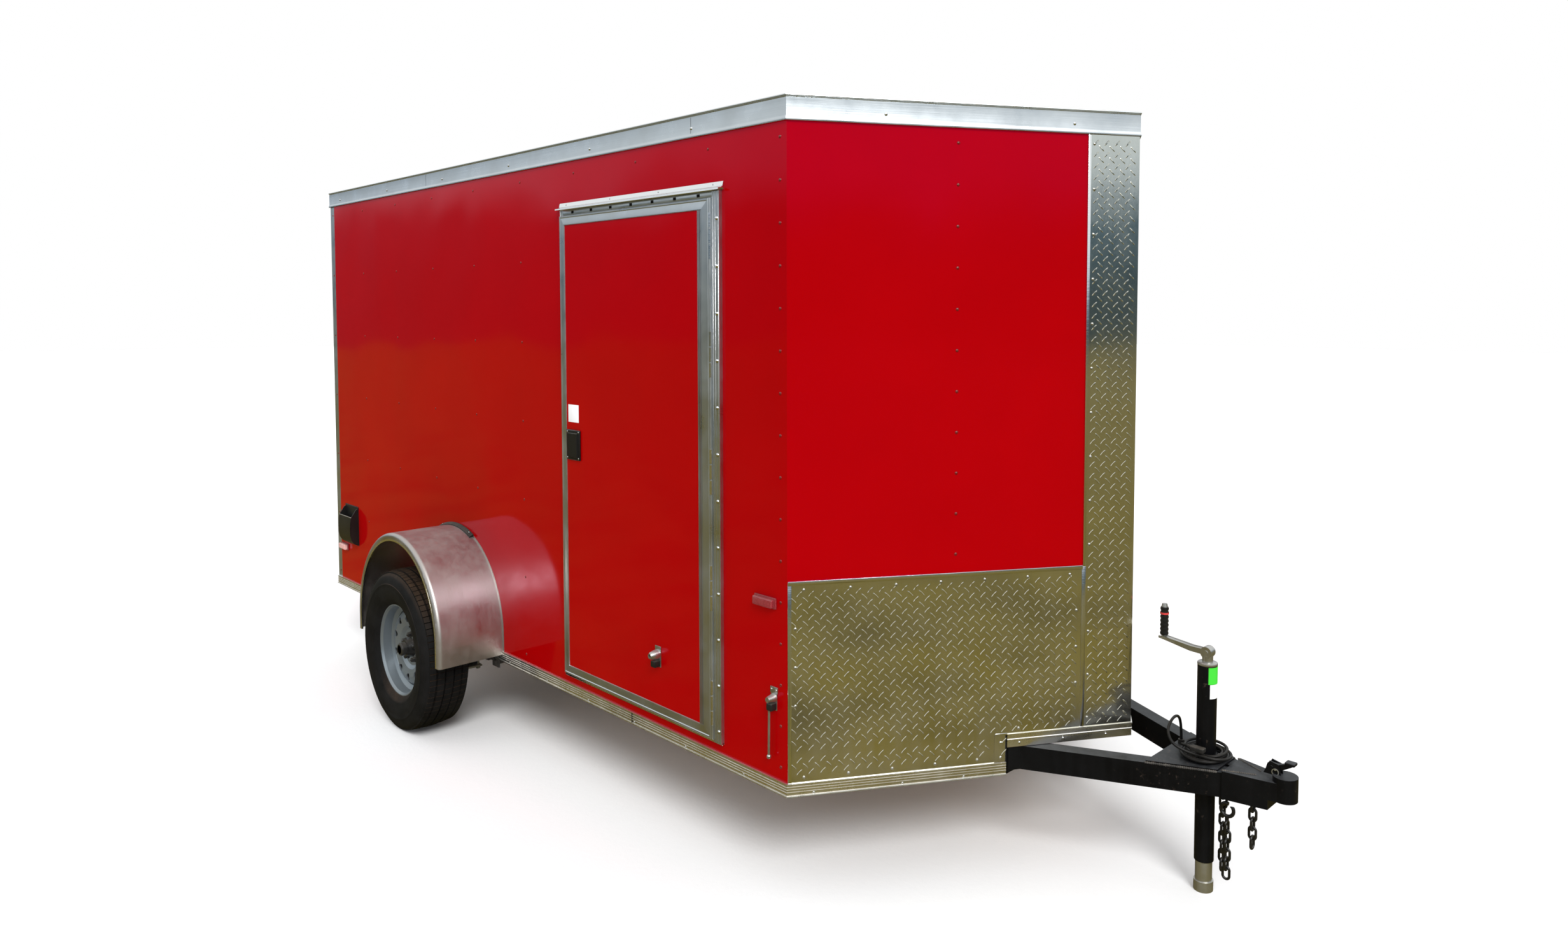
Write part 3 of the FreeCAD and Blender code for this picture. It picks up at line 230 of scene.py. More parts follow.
def cuboid(bm, start, end, place=Matrix(), bevel=0.0, segments=2):
    """A box between two corners, with softened edges."""
    start, end = Vector(start), Vector(end)
    made = bmesh.ops.create_cube(bm, size=1, matrix=place @ flat((start + end) / 2, end - start))
    if bevel:
        edges = list({edge for vert in made["verts"] for edge in vert.link_edges})
        bmesh.ops.bevel(bm, geom=edges, offset=bevel, offset_type="OFFSET", affect="EDGES",
                        segments=segments, profile=0.5, material=-1)


def bar(bm, start, end, radius, tip=None, segments=24, place=Matrix()):
    """A round or tapered bar between two points."""
    start, end = Vector(start), Vector(end)
    turn = (end - start).to_track_quat("Z", "Y").to_matrix().to_4x4()
    bmesh.ops.create_cone(
        bm, cap_ends=True, cap_tris=False, segments=segments, radius1=radius,
        radius2=radius if tip is None else tip, depth=(end - start).length,
        matrix=place @ Matrix.Translation((start + end) / 2) @ turn)


def screw(bm, spot, place=Matrix(), radius=0.0052, rise=0.0026):
    """A low domed head on a face."""
    bmesh.ops.create_uvsphere(bm, u_segments=8, v_segments=6, radius=1,
                              matrix=place @ flat(spot, (radius, rise, radius)))


def sweep(bm, outline, stations, up=UP, closed=False):
    """Extrudes a closed outline of (out, up) pairs along stations of (spot, out direction)."""
    spot, out = stations[0]
    first = bm.faces.new([bm.verts.new(spot + out * a + up * b) for a, b in outline])
    face = first
    for next_spot, next_out in stations[1:] + (stations[:1] if closed else []):
        grown = bmesh.ops.extrude_face_region(bm, geom=[face])["geom"]
        for vert in (item for item in grown if isinstance(item, bmesh.types.BMVert)):
            offset = vert.co - spot
            share = offset.dot(out) / out.length_squared
            vert.co = next_spot + next_out * share + up * offset.dot(up)
        face = next(item for item in grown if isinstance(item, bmesh.types.BMFace))
        spot, out = next_spot, next_out
    if closed:
        caps = [item for item in (first, face) if item.is_valid]
        bmesh.ops.delete(bm, geom=caps, context="FACES_ONLY")
        bmesh.ops.remove_doubles(bm, verts=bm.verts, dist=WELD)


def turned(bm, outline, centre, steps, along=Vector((0, 1, 0))):
    """Spins a closed outline of (distance along the axis, radius) pairs."""
    arm = along.orthogonal().normalized()
    verts = [bm.verts.new(centre + along * a + arm * r) for a, r in outline]
    edges = [bm.edges.new(pair) for pair in zip(verts, verts[1:] + verts[:1])]
    bmesh.ops.spin(bm, geom=verts + edges, cent=centre, axis=along, angle=math.tau, steps=steps,
                   use_merge=True, use_duplicate=False)
    bmesh.ops.remove_doubles(bm, verts=bm.verts, dist=WELD)


def prism(bm, corners, start, end, place=Matrix()):
    """An outline in the (x, z) plane of a place, thickened along its y axis."""
    face = bm.faces.new([bm.verts.new(place @ Vector((x, start, z))) for x, z in corners])
    grown = bmesh.ops.extrude_face_region(bm, geom=[face])["geom"]
    shift = place.to_3x3() @ Vector((0, end - start, 0))
    bmesh.ops.translate(bm, verts=[v for v in grown if isinstance(v, bmesh.types.BMVert)], vec=shift)


def piece(name, bm, body, finish, replaced=(), crease=38.0):
    """Turns a bmesh into a finished piece that rides on a body."""
    bmesh.ops.recalc_face_normals(bm, faces=bm.faces)
    mesh = bpy.data.meshes.new(name)
    bm.to_mesh(mesh)
    bm.free()
    mesh.polygons.foreach_set("use_smooth", [True] * len(mesh.polygons))
    mesh.set_sharp_from_angle(angle=math.radians(crease))
    mesh.materials.append(FINISHES[finish])
    made = bpy.data.objects.new(name, mesh)
    bpy.context.scene.collection.objects.link(made)
    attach(made, body)
    if replaced:
        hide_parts(*replaced)
    return made


# ---------------------------------------------------------------- shader helpers

# Sockets of a mix node that mixes colours.
MIX_SHARE, MIX_FIRST, MIX_SECOND, MIX_RESULT = 0, 6, 7, 2


def link(tree, source, target):
    """Joins an output to an input."""
    tree.links.new(source, target)


def add(tree, kind, **settings):
    """A new node with its own settings."""
    made = tree.nodes.new(kind)
    for key, value in settings.items():
        setattr(made, key, value)
    return made


def put(tree, socket, value):
    """Links an input to another socket, or gives it a value."""
    if isinstance(value, bpy.types.NodeSocket):
        link(tree, value, socket)
    else:
        socket.default_value = value


def feed(tree, node, **inputs):
    """Fills a node's inputs, named with underscores for spaces."""
    for key, value in inputs.items():
        put(tree, node.inputs[key.replace("_", " ")], value)
    return node


def noise(tree, vector, scale, detail=3.0, rough=0.55):
    """Soft noise between 0 and 1."""
    made = add(tree, "ShaderNodeTexNoise")
    feed(tree, made, Vector=vector, Scale=scale, Detail=detail, Roughness=rough)
    return made.outputs["Fac"]


def reckon(tree, operation, first, second):
    """One step of arithmetic on two values."""
    made = add(tree, "ShaderNodeMath", operation=operation)
    put(tree, made.inputs[0], first)
    put(tree, made.inputs[1], second)
    return made.outputs[0]


def plus(tree, first, second):
    return reckon(tree, "ADD", first, second)


def minus(tree, first, second):
    return reckon(tree, "SUBTRACT", first, second)


def times(tree, first, second):
    return reckon(tree, "MULTIPLY", first, second)


def spread(tree, value, start, end, to_start=0.0, to_end=1.0):
    """A value moved from one range to another, and clamped."""
    made = add(tree, "ShaderNodeMapRange")
    feed(tree, made, Value=value, From_Min=start, From_Max=end, To_Min=to_start, To_Max=to_end)
    return made.outputs["Result"]


def mixed(tree, share, first, second):
    """Two colours mixed by a share."""
    made = add(tree, "ShaderNodeMix", data_type="RGBA")
    for index, value in ((MIX_SHARE, share), (MIX_FIRST, first), (MIX_SECOND, second)):
        put(tree, made.inputs[index], value)
    return made.outputs[MIX_RESULT]


def stretched(tree, vector, scale):
    """Coordinates scaled on their own axes."""
    made = add(tree, "ShaderNodeMapping")
    feed(tree, made, Vector=vector, Scale=scale)
    return made.outputs["Vector"]


def group(name, inputs, outputs):
    """An empty shader group with its named sockets: (tree, its inputs, its output node)."""
    tree = bpy.data.node_groups.new(name, "ShaderNodeTree")
    for title, kind, default in inputs:
        socket = tree.interface.new_socket(name=title, in_out="INPUT", socket_type="NodeSocket" + kind)
        if default is not None:
            socket.default_value = default
    for title, kind in outputs:
        tree.interface.new_socket(name=title, in_out="OUTPUT", socket_type="NodeSocket" + kind)
    entry = add(tree, "NodeGroupInput")
    return tree, entry.outputs, add(tree, "NodeGroupOutput")


def use(tree, name, **inputs):
    """A group placed in a material with its own values."""
    made = add(tree, "ShaderNodeGroup", node_tree=bpy.data.node_groups[name])
    return feed(tree, made, **inputs).outputs


def make_waves():
    """Large soft dents of thin sheet, with the paint's fine ripple on them."""
    tree, given, out = group("Sheet waves", [("Vector", "Vector", None), ("Size", "Float", 2.0),
                                             ("Depth", "Float", 1.0), ("Ripple", "Float", 0.02)],
                             [("Height", "Float")])
    broad = noise(tree, given["Vector"], given["Size"], 1.0, 0.4)
    fine = noise(tree, given["Vector"], 240.0, 1.0, 0.5)
    waves = times(tree, broad, given["Depth"])
    ripple = times(tree, fine, given["Ripple"])
    link(tree, plus(tree, waves, ripple), out.inputs["Height"])


def make_dust():
    """Road dust: more low down and on what faces up, in soft blotches and thin runs."""
    tree, given, out = group(
        "Road dust",
        [("Vector", "Vector", None), ("Color", "Color", None), ("Dust", "Color", (0.30, 0.26, 0.21, 1)),
         ("Amount", "Float", 0.3), ("Top", "Float", 0.3), ("Roughness", "Float", 0.4)],
        [("Color", "Color"), ("Roughness", "Float"), ("Mask", "Float")])
    parts = add(tree, "ShaderNodeSeparateXYZ")
    link(tree, given["Vector"], parts.inputs[0])
    height = spread(tree, parts.outputs["Z"], 0.15, 1.1, 1.0, 0.12)
    normal = add(tree, "ShaderNodeSeparateXYZ")
    link(tree, add(tree, "ShaderNodeNewGeometry").outputs["Normal"], normal.inputs[0])
    upward = times(tree, spread(tree, normal.outputs["Z"], 0.35, 0.95), given["Top"])
    blotch = spread(tree, noise(tree, given["Vector"], 7.0, 5.0, 0.62), 0.36, 0.72)
    runs = spread(tree, noise(tree, stretched(tree, given["Vector"], (38, 38, 2.6)), 1.0, 3.0, 0.6), 0.42,
                  0.75)
    speck = spread(tree, noise(tree, given["Vector"], 150.0, 2.0, 0.6), 0.52, 0.70)
    cover = plus(tree, times(tree, blotch, 0.60), times(tree, runs, 0.35))
    cover = plus(tree, cover, times(tree, speck, 0.22))
    side = times(tree, times(tree, cover, height), given["Amount"])
    above = times(tree, plus(tree, cover, 0.25), upward)
    mask = spread(tree, plus(tree, side, above), 0.0, 1.0)
    link(tree, mask, out.inputs["Mask"])
    link(tree, mixed(tree, mask, given["Color"], given["Dust"]), out.inputs["Color"])
    link(tree, spread(tree, mask, 0.0, 1.0, given["Roughness"], 0.86), out.inputs["Roughness"])


def make_grain():
    """Drawn or brushed metal: long thin streaks along the small stretch axis."""
    tree, given, out = group(
        "Drawn grain",
        [("Vector", "Vector", None), ("Stretch", "Vector", (2, 200, 200)), ("Contrast", "Float", 0.15)],
        [("Shade", "Float"), ("Height", "Float")])
    scaled = add(tree, "ShaderNodeVectorMath", operation="MULTIPLY")
    link(tree, given["Vector"], scaled.inputs[0])
    link(tree, given["Stretch"], scaled.inputs[1])
    streaks = noise(tree, scaled.outputs[0], 1.0, 4.0, 0.65)
    cloud = noise(tree, given["Vector"], 3.0, 3.0, 0.5)
    both = plus(tree, times(tree, streaks, 0.7), times(tree, cloud, 0.3))
    centred = times(tree, minus(tree, both, 0.5), given["Contrast"])
    link(tree, plus(tree, centred, 1.0), out.inputs["Shade"])
    link(tree, streaks, out.inputs["Height"])


def make_scuffs():
    """Chips and scuffs that let another colour through."""
    tree, given, out = group(
        "Scuffs",
        [("Vector", "Vector", None), ("Color", "Color", None), ("Bare", "Color", (0.3, 0.3, 0.3, 1)),
         ("Amount", "Float", 0.2), ("Scale", "Float", 30.0)],
        [("Color", "Color"), ("Mask", "Float")])
    blot = noise(tree, given["Vector"], given["Scale"], 6.0, 0.7)
    broad = noise(tree, given["Vector"], 4.0, 2.0, 0.5)
    both = plus(tree, blot, times(tree, broad, 0.35))
    mask = times(tree, spread(tree, both, 0.82, 0.90), given["Amount"])
    link(tree, mask, out.inputs["Mask"])
    link(tree, mixed(tree, mask, given["Color"], given["Bare"]), out.inputs["Color"])


def shader(name):
    """A new finish: (its tree, its shader, its own object coordinates)."""
    made = bpy.data.materials.new(name)
    FINISHES[name] = made
    made.use_nodes = True
    tree = made.node_tree
    place = add(tree, "ShaderNodeTexCoord").outputs["Object"]
    return tree, tree.nodes["Principled BSDF"], place


def raise_surface(tree, shade, height, distance):
    """Bends the light on a finish by a height in metres."""
    bump = add(tree, "ShaderNodeBump")
    feed(tree, bump, Height=height, Distance=distance, Strength=1.0)
    link(tree, bump.outputs["Normal"], shade.inputs["Normal"])


def rgba(shade):
    """An opaque colour."""
    return (*shade, 1.0)


def painted(name, shade, rough, coat=0.0, waves=(3.0, 0.6), distance=0.0012, dust=0.2, top=0.2,
            dust_shade=(0.30, 0.26, 0.21), bare=(0.20, 0.20, 0.20), scuffs=0.0, scuff_size=40.0, ripple=0.02,
            variation=0.12, metallic=0.0, specular=0.5, tint=(1.0, 1.0, 1.0)):
    """Paint, plastic or rubber: gentle colour change, dust, scuffs and a waved surface."""
    tree, skin, place = shader(name)
    darker = rgba([value * (1 - variation) for value in shade])
    lighter = rgba([min(1.0, value * (1 + variation)) for value in shade])
    base = mixed(tree, spread(tree, noise(tree, place, 2.3, 4.0, 0.6), 0.3, 0.7), darker, lighter)
    worn = use(tree, "Scuffs", Vector=place, Color=base, Bare=rgba(bare), Amount=scuffs, Scale=scuff_size)
    dirty = use(tree, "Road dust", Vector=place, Color=worn["Color"], Dust=rgba(dust_shade), Amount=dust,
                Top=top, Roughness=rough)
    height = use(tree, "Sheet waves", Vector=place, Size=waves[0], Depth=waves[1], Ripple=ripple)["Height"]
    feed(tree, skin, Base_Color=dirty["Color"], Roughness=dirty["Roughness"], Metallic=metallic,
         Specular_IOR_Level=specular, Specular_Tint=rgba(tint), Coat_Weight=coat, Coat_Roughness=0.05)
    raise_surface(tree, skin, height, distance)


def metal(name, shade, rough, stretch=(2, 160, 160), contrast=0.25, dust=0.12, top=0.15, waves=0.0):
    """Bare metal with drawn grain, cloudy roughness and dust."""
    tree, skin, place = shader(name)
    grain = use(tree, "Drawn grain", Vector=place, Stretch=stretch, Contrast=contrast)
    base = mixed(tree, spread(tree, grain["Shade"], 0.8, 1.2), rgba([v * 0.82 for v in shade]), rgba(shade))
    uneven = spread(tree, noise(tree, place, 9.0, 4.0, 0.6), 0.3, 0.7, rough * 0.75, rough * 1.3)
    pale_dust = (0.36, 0.32, 0.27, 1)
    dirty = use(tree, "Road dust", Vector=place, Color=base, Dust=pale_dust, Amount=dust, Top=top,
                Roughness=uneven)
    clean = spread(tree, dirty["Mask"], 0.0, 1.0, 1.0, 0.15)
    feed(tree, skin, Base_Color=dirty["Color"], Roughness=dirty["Roughness"], Metallic=clean)
    grain_depth = 0.0002
    height = times(tree, grain["Height"], grain_depth)
    if waves:
        soft = use(tree, "Sheet waves", Vector=place, Size=3.5, Depth=waves, Ripple=0.0)["Height"]
        height = plus(tree, height, soft)
    raise_surface(tree, skin, height, 1.0)


def make_plywood():
    """Plywood: wavy rings, long fibres and a little dust."""
    tree, skin, place = shader("plywood")
    long_grain = stretched(tree, place, (1.2, 14, 14))
    rings = add(tree, "ShaderNodeTexWave", wave_type="BANDS", bands_direction="Y")
    feed(tree, rings, Vector=long_grain, Scale=0.55, Distortion=7.0, Detail=3.0, Detail_Scale=1.2)
    fibre = noise(tree, stretched(tree, place, (6, 260, 260)), 1.0, 4.0, 0.6)
    share = plus(tree, times(tree, rings.outputs["Fac"], 0.55), times(tree, fibre, 0.45))
    wood = mixed(tree, share, (0.36, 0.20, 0.095, 1), (0.62, 0.43, 0.25, 1))
    dirty = use(tree, "Road dust", Vector=place, Color=wood, Amount=0.15, Top=0.12, Roughness=0.55)
    feed(tree, skin, Base_Color=dirty["Color"], Roughness=dirty["Roughness"])
    raise_surface(tree, skin, fibre, 0.0004)


def make_rubber(shade):
    """Tyre rubber: dusty brown on the tread and in the grooves, greyer on the sidewall."""
    tree, skin, place = shader("tyre_rubber")
    speck = noise(tree, place, 320.0, 3.0, 0.6)
    cloud = spread(tree, noise(tree, place, 11.0, 5.0, 0.65), 0.32, 0.70)
    base = mixed(tree, cloud, rgba(shade), rgba([value * 2.1 for value in shade]))
    dirty = use(tree, "Road dust", Vector=place, Color=base, Dust=(0.13, 0.075, 0.04, 1), Amount=0.02,
                Top=0.45, Roughness=0.60)
    feed(tree, skin, Base_Color=dirty["Color"], Roughness=dirty["Roughness"], Specular_IOR_Level=0.10)
    raise_surface(tree, skin, plus(tree, speck, cloud), 0.0005)


def make_lens(name, shade, painted_glint):
    """Moulded lens plastic with fine inner flutes; the second colour, lighter in the flutes' pattern, is a
    painted glint.
    """
    tree, skin, place = shader(name)
    flutes = add(tree, "ShaderNodeTexWave", wave_type="BANDS", bands_direction="X")
    feed(tree, flutes, Vector=place, Scale=60.0, Distortion=0.0)
    cells = add(tree, "ShaderNodeTexVoronoi")
    feed(tree, cells, Vector=place, Scale=260.0)
    share = times(tree, flutes.outputs["Fac"], cells.outputs["Distance"])
    # The lighter colour on the flutes and cells is a painted glint, not the lens's own colour.
    base = mixed(tree, spread(tree, share, 0.0, 0.5), rgba(shade), rgba(painted_glint))
    dirty = use(tree, "Road dust", Vector=place, Color=base, Amount=0.15, Top=0.2, Roughness=0.12)
    feed(tree, skin, Base_Color=dirty["Color"], Roughness=dirty["Roughness"], Coat_Weight=0.3,
         Coat_Roughness=0.04)
    raise_surface(tree, skin, flutes.outputs["Fac"], 0.0006)


# ---------------------------------------------------------------- operators

class MixFinishes(Operator):
    """Build the shared effects and every finish of the trailer"""

    bl_idname = "trailer.mix_finishes"
    bl_label = "Mix the finishes"

    def execute(self, context):
        shell = context.scene.trailer_shell
        wheels = context.scene.trailer_wheels
        for build in (make_waves, make_dust, make_grain, make_scuffs, make_plywood):
            build()
        make_rubber(wheels.rubber)
        # Each lens's second colour is a painted glint on its flutes.
        make_lens("lens_red", (0.15, 0.008, 0.012), (0.30, 0.035, 0.045))
        make_lens("lens_pink", (0.62, 0.22, 0.20), (0.92, 0.62, 0.58))
        make_lens("lens_clear", (0.62, 0.64, 0.66), (0.92, 0.93, 0.94))
        skin = shell.skin
        painted("red_skin", skin, 0.08, coat=0.02, waves=(2.1, 1.0), ripple=0.0006, distance=0.0060, dust=0.0,
                top=0.1, variation=0.04, specular=0.16, tint=(0.9, 0.05, 1.0))
        painted("red_screw", [value * 0.45 for value in skin], 0.25, coat=0.2, dust=0.1, variation=0.03)
        painted("roof_white", (0.74, 0.75, 0.74), 0.42, waves=(2.4, 1.0), distance=0.003, dust=0.3, top=0.32,
                variation=0.04)
        painted("black_steel", (0.002, 0.002, 0.0025), 0.36, dust=0.03, top=0.34,
                dust_shade=(0.17, 0.18, 0.19), bare=(0.10, 0.07, 0.05), scuffs=0.40, scuff_size=55,
                specular=0.15)
        painted("under_steel", (0.013, 0.013, 0.013), 0.62, dust=0.45, top=0.2, bare=(0.15, 0.08, 0.05),
                scuffs=0.4, scuff_size=24)
        painted("spring_steel", (0.030, 0.027, 0.025), 0.55, dust=0.5, top=0.3, bare=(0.20, 0.10, 0.06),
                scuffs=0.7, scuff_size=30, metallic=0.3)
        painted("black_plastic", (0.006, 0.006, 0.006), 0.34, waves=(90, 0.3), distance=0.0003, dust=0.06,
                top=0.2, specular=0.3)
        painted("black_rubber", (0.006, 0.006, 0.006), 0.55, waves=(120, 0.3), distance=0.0003, dust=0.10,
                top=0.2, specular=0.25)
        painted("cord_rubber", (0.005, 0.005, 0.005), 0.42, waves=(160, 0.4), distance=0.0003, dust=0.04,
                top=0.05, specular=0.2)
        painted("wheel_silver", wheels.silver, 0.30, metallic=0.65, dust=0.10, top=0.1, waves=(60, 0.3),
                distance=0.0003, variation=0.06)
        painted("hub_black", (0.008, 0.008, 0.008), 0.30, dust=0.10, top=0.2,
                bare=(0.20, 0.19, 0.18), scuffs=0.4)
        painted("label_white", (0.80, 0.80, 0.78), 0.45, dust=0.15, top=0.0, variation=0.03)
        painted("label_green", (0.03, 0.62, 0.02), 0.42, dust=0.15, top=0.0, variation=0.06)
        painted("tie_red", (0.50, 0.02, 0.02), 0.45, dust=0.2, variation=0.1)
        painted("liner_white", (0.66, 0.66, 0.63), 0.55, dust=0.1, top=0.0, variation=0.03)
        metal("trim_aluminium", shell.trim, 0.30, stretch=(2.0, 2.0, 170), contrast=0.25, dust=0.10,
              waves=0.0008)
        metal("skirt_metal", (0.95, 0.93, 0.88), 0.26, stretch=(2.0, 2.0, 170), contrast=0.25, dust=0.04)
        metal("polished_trim", shell.polished, 0.14, stretch=(3, 3, 220), contrast=0.15, dust=0.06, top=0.05)
        metal("screw_bright", shell.polished, 0.16, contrast=0.1, dust=0.05, top=0.0)
        metal("tread_metal", (0.82, 0.81, 0.72), 0.11, stretch=(60, 60, 9), contrast=0.30, dust=0.10,
              top=0.05, waves=0.0010)
        metal("fender_aluminium", (0.52, 0.49, 0.47), 0.34, stretch=(12, 220, 12), contrast=0.25, dust=0.26,
              top=0.22, waves=0.0012)
        painted("chain_black", (0.004, 0.004, 0.004), 0.30, dust=0.04, top=0.10, bare=(0.10, 0.09, 0.08),
                scuffs=0.3, scuff_size=70)
        metal("zinc", (0.62, 0.62, 0.59), 0.34, stretch=(60, 60, 60), contrast=0.5, dust=0.22, top=0.2)
        metal("crank_steel", (0.58, 0.58, 0.56), 0.30, stretch=(30, 90, 30), contrast=0.35,
              dust=0.18, top=0.2)
        metal("frame_aluminium", shell.trim, 0.34, stretch=(170, 170, 3), contrast=0.22, dust=0.12)
        metal("gap_shadow", (0.02, 0.02, 0.02), 0.7, contrast=0.1)
        return {"FINISHED"}


NODE_FINISHES = {
    "red_skin": ("left_wall", "right_wall", "nose_wall_left", "nose_wall_right", "side_door_panel",
                 "ramp_door_panel"),
    "plywood": ("floor",),
    "roof_white": ("roof",),
    "tread_metal": ("stone_guards", "notch_caps", "nose_column"),
    "frame_aluminium": ("rear_frame", "side_door_frame"),
    "fender_aluminium": ("fenders",),
    "black_steel": ("frame_rails", "tongue_beams", "nose_rails", "tongue_plate", "jack_tube", "coupler"),
    "under_steel": ("crossmembers", "axle", "spring_hangers", "ramp_hinge"),
    "spring_steel": ("leaf_springs",),
    "zinc": ("jack_leg",),
    "chain_black": ("safety_chains", "chain_hook"),
    "wheel_silver": ("rim_left", "rim_right"),
    "hub_black": ("hub_left", "hub_right"),
    "black_rubber": ("cord_gland",),
}


class DressFrame(Operator):
    """Give every frame part that stays in sight its finish"""

    bl_idname = "trailer.dress_frame"
    bl_label = "Dress the frame"

    def execute(self, context):
        for finish, names in NODE_FINISHES.items():
            for name in names:
                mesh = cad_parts[name].data
                if not mesh.materials:
                    mesh.materials.append(None)
                for index in range(len(mesh.materials)):
                    mesh.materials[index] = FINISHES[finish]
        return {"FINISHED"}


class SetStage(Operator):
    """Set up the camera, the floor, the sky and the soft lights"""

    bl_idname = "trailer.set_stage"
    bl_label = "Set the stage"

    def execute(self, context):
        sizes = context.scene.trailer_stage
        camera = bpy.data.objects.new("camera", bpy.data.cameras.new("camera"))
        context.scene.collection.objects.link(camera)
        camera.data.sensor_width = 36
        camera.data.lens = sizes.lens
        camera.data.shift_x, camera.data.shift_y = sizes.shift
        quarter = math.pi / 2
        turn = Matrix.Rotation(sizes.heading - quarter, 4, "Z") @ Matrix.Rotation(quarter + sizes.pitch, 4,
            "X")
        camera.matrix_world = Matrix.Translation(sizes.spot) @ turn @ Matrix.Rotation(sizes.roll, 4, "Z")
        context.scene.camera = camera
        self.lay_floor(context, sizes)
        self.light(context, sizes)
        return {"FINISHED"}

    def lay_floor(self, context, sizes):
        """A pale floor that shiny pieces see as darker ground."""
        tree, skin, place = shader("studio_floor")
        cloud = noise(tree, place, 0.6, 4.0, 0.6)
        speck = noise(tree, place, 40.0, 4.0, 0.6)
        darker = rgba([value * 0.94 for value in sizes.floor_shade])
        both = plus(tree, times(tree, cloud, 0.7), times(tree, speck, 0.3))
        pale = mixed(tree, both, darker, rgba(sizes.floor_shade))
        patches = spread(tree, noise(tree, place, 1.6, 5.0, 0.6), 0.36, 0.66, 0.40, 1.25)
        dull = mixed(tree, patches, (0, 0, 0, 1), rgba(sizes.ground_shade))
        mirrored = add(tree, "ShaderNodeLightPath").outputs["Is Glossy Ray"]
        feed(tree, skin, Base_Color=mixed(tree, mirrored, pale, dull), Roughness=0.85, Specular_IOR_Level=0.1)
        raise_surface(tree, skin, speck, 0.0008)
        bm = bmesh.new()
        bmesh.ops.create_grid(bm, x_segments=8, y_segments=8, size=60)
        mesh = bpy.data.meshes.new("floor_plane")
        bm.to_mesh(mesh)
        bm.free()
        mesh.materials.append(FINISHES["studio_floor"])
        floor = bpy.data.objects.new("floor_plane", mesh)
        context.scene.collection.objects.link(floor)

    def light(self, context, sizes):
        """The sky, as the camera, shiny pieces and the rest see it, and the soft sun."""
        world = bpy.data.worlds.new("studio_sky")
        world.use_nodes = True
        context.scene.world = world
        tree = world.node_tree
        place = add(tree, "ShaderNodeTexCoord").outputs["Generated"]
        parts = add(tree, "ShaderNodeSeparateXYZ")
        link(tree, place, parts.inputs[0])
        uneven = times(tree, minus(tree, noise(tree, place, 5.0, 5.0, 0.6), 0.5), 0.16)
        height = plus(tree, parts.outputs["Z"], uneven)
        seen = self.sky(tree, height, {
            0.0: (0.045, 0.070, 0.085), 0.085: (0.050, 0.105, 0.150), 0.125: (0.62, 0.70, 0.78),
            0.30: (0.96, 1.0, 1.0), 1.0: (1.0, 1.0, 1.0)})
        soft = self.sky(tree, parts.outputs["Z"], {0.0: (0.70, 0.71, 0.72), 0.4: (0.95, 0.97, 1.0),
                                                   1.0: (1, 1, 1)})
        path = add(tree, "ShaderNodeLightPath").outputs
        shade = mixed(tree, path["Is Glossy Ray"], soft, seen)
        shade = mixed(tree, path["Is Camera Ray"], shade, (1, 1, 1, 1))
        background = tree.nodes["Background"]
        link(tree, shade, background.inputs["Color"])
        background.inputs["Strength"].default_value = sizes.sky_power
        sun = bpy.data.lights.new("key_sun", "SUN")
        sun.energy = sizes.sun_power
        sun.angle = math.radians(24)
        key = bpy.data.objects.new("key_sun", sun)
        key.rotation_euler = (math.radians(50), 0, math.radians(61))
        context.scene.collection.objects.link(key)
        context.scene.view_settings.view_transform = "Standard"

    def sky(self, tree, height, shades):
        """Colours by height above the horizon."""
        ramp = add(tree, "ShaderNodeValToRGB")
        link(tree, height, ramp.inputs["Fac"])
        stops = ramp.color_ramp.elements
        stops.remove(stops[1])
        for spot, shade in shades.items():
            stop = stops.new(spot) if spot else stops[0]
            stop.color = rgba(shade)
        return ramp.outputs["Color"]


# ---------------------------------------------------------------- the cord

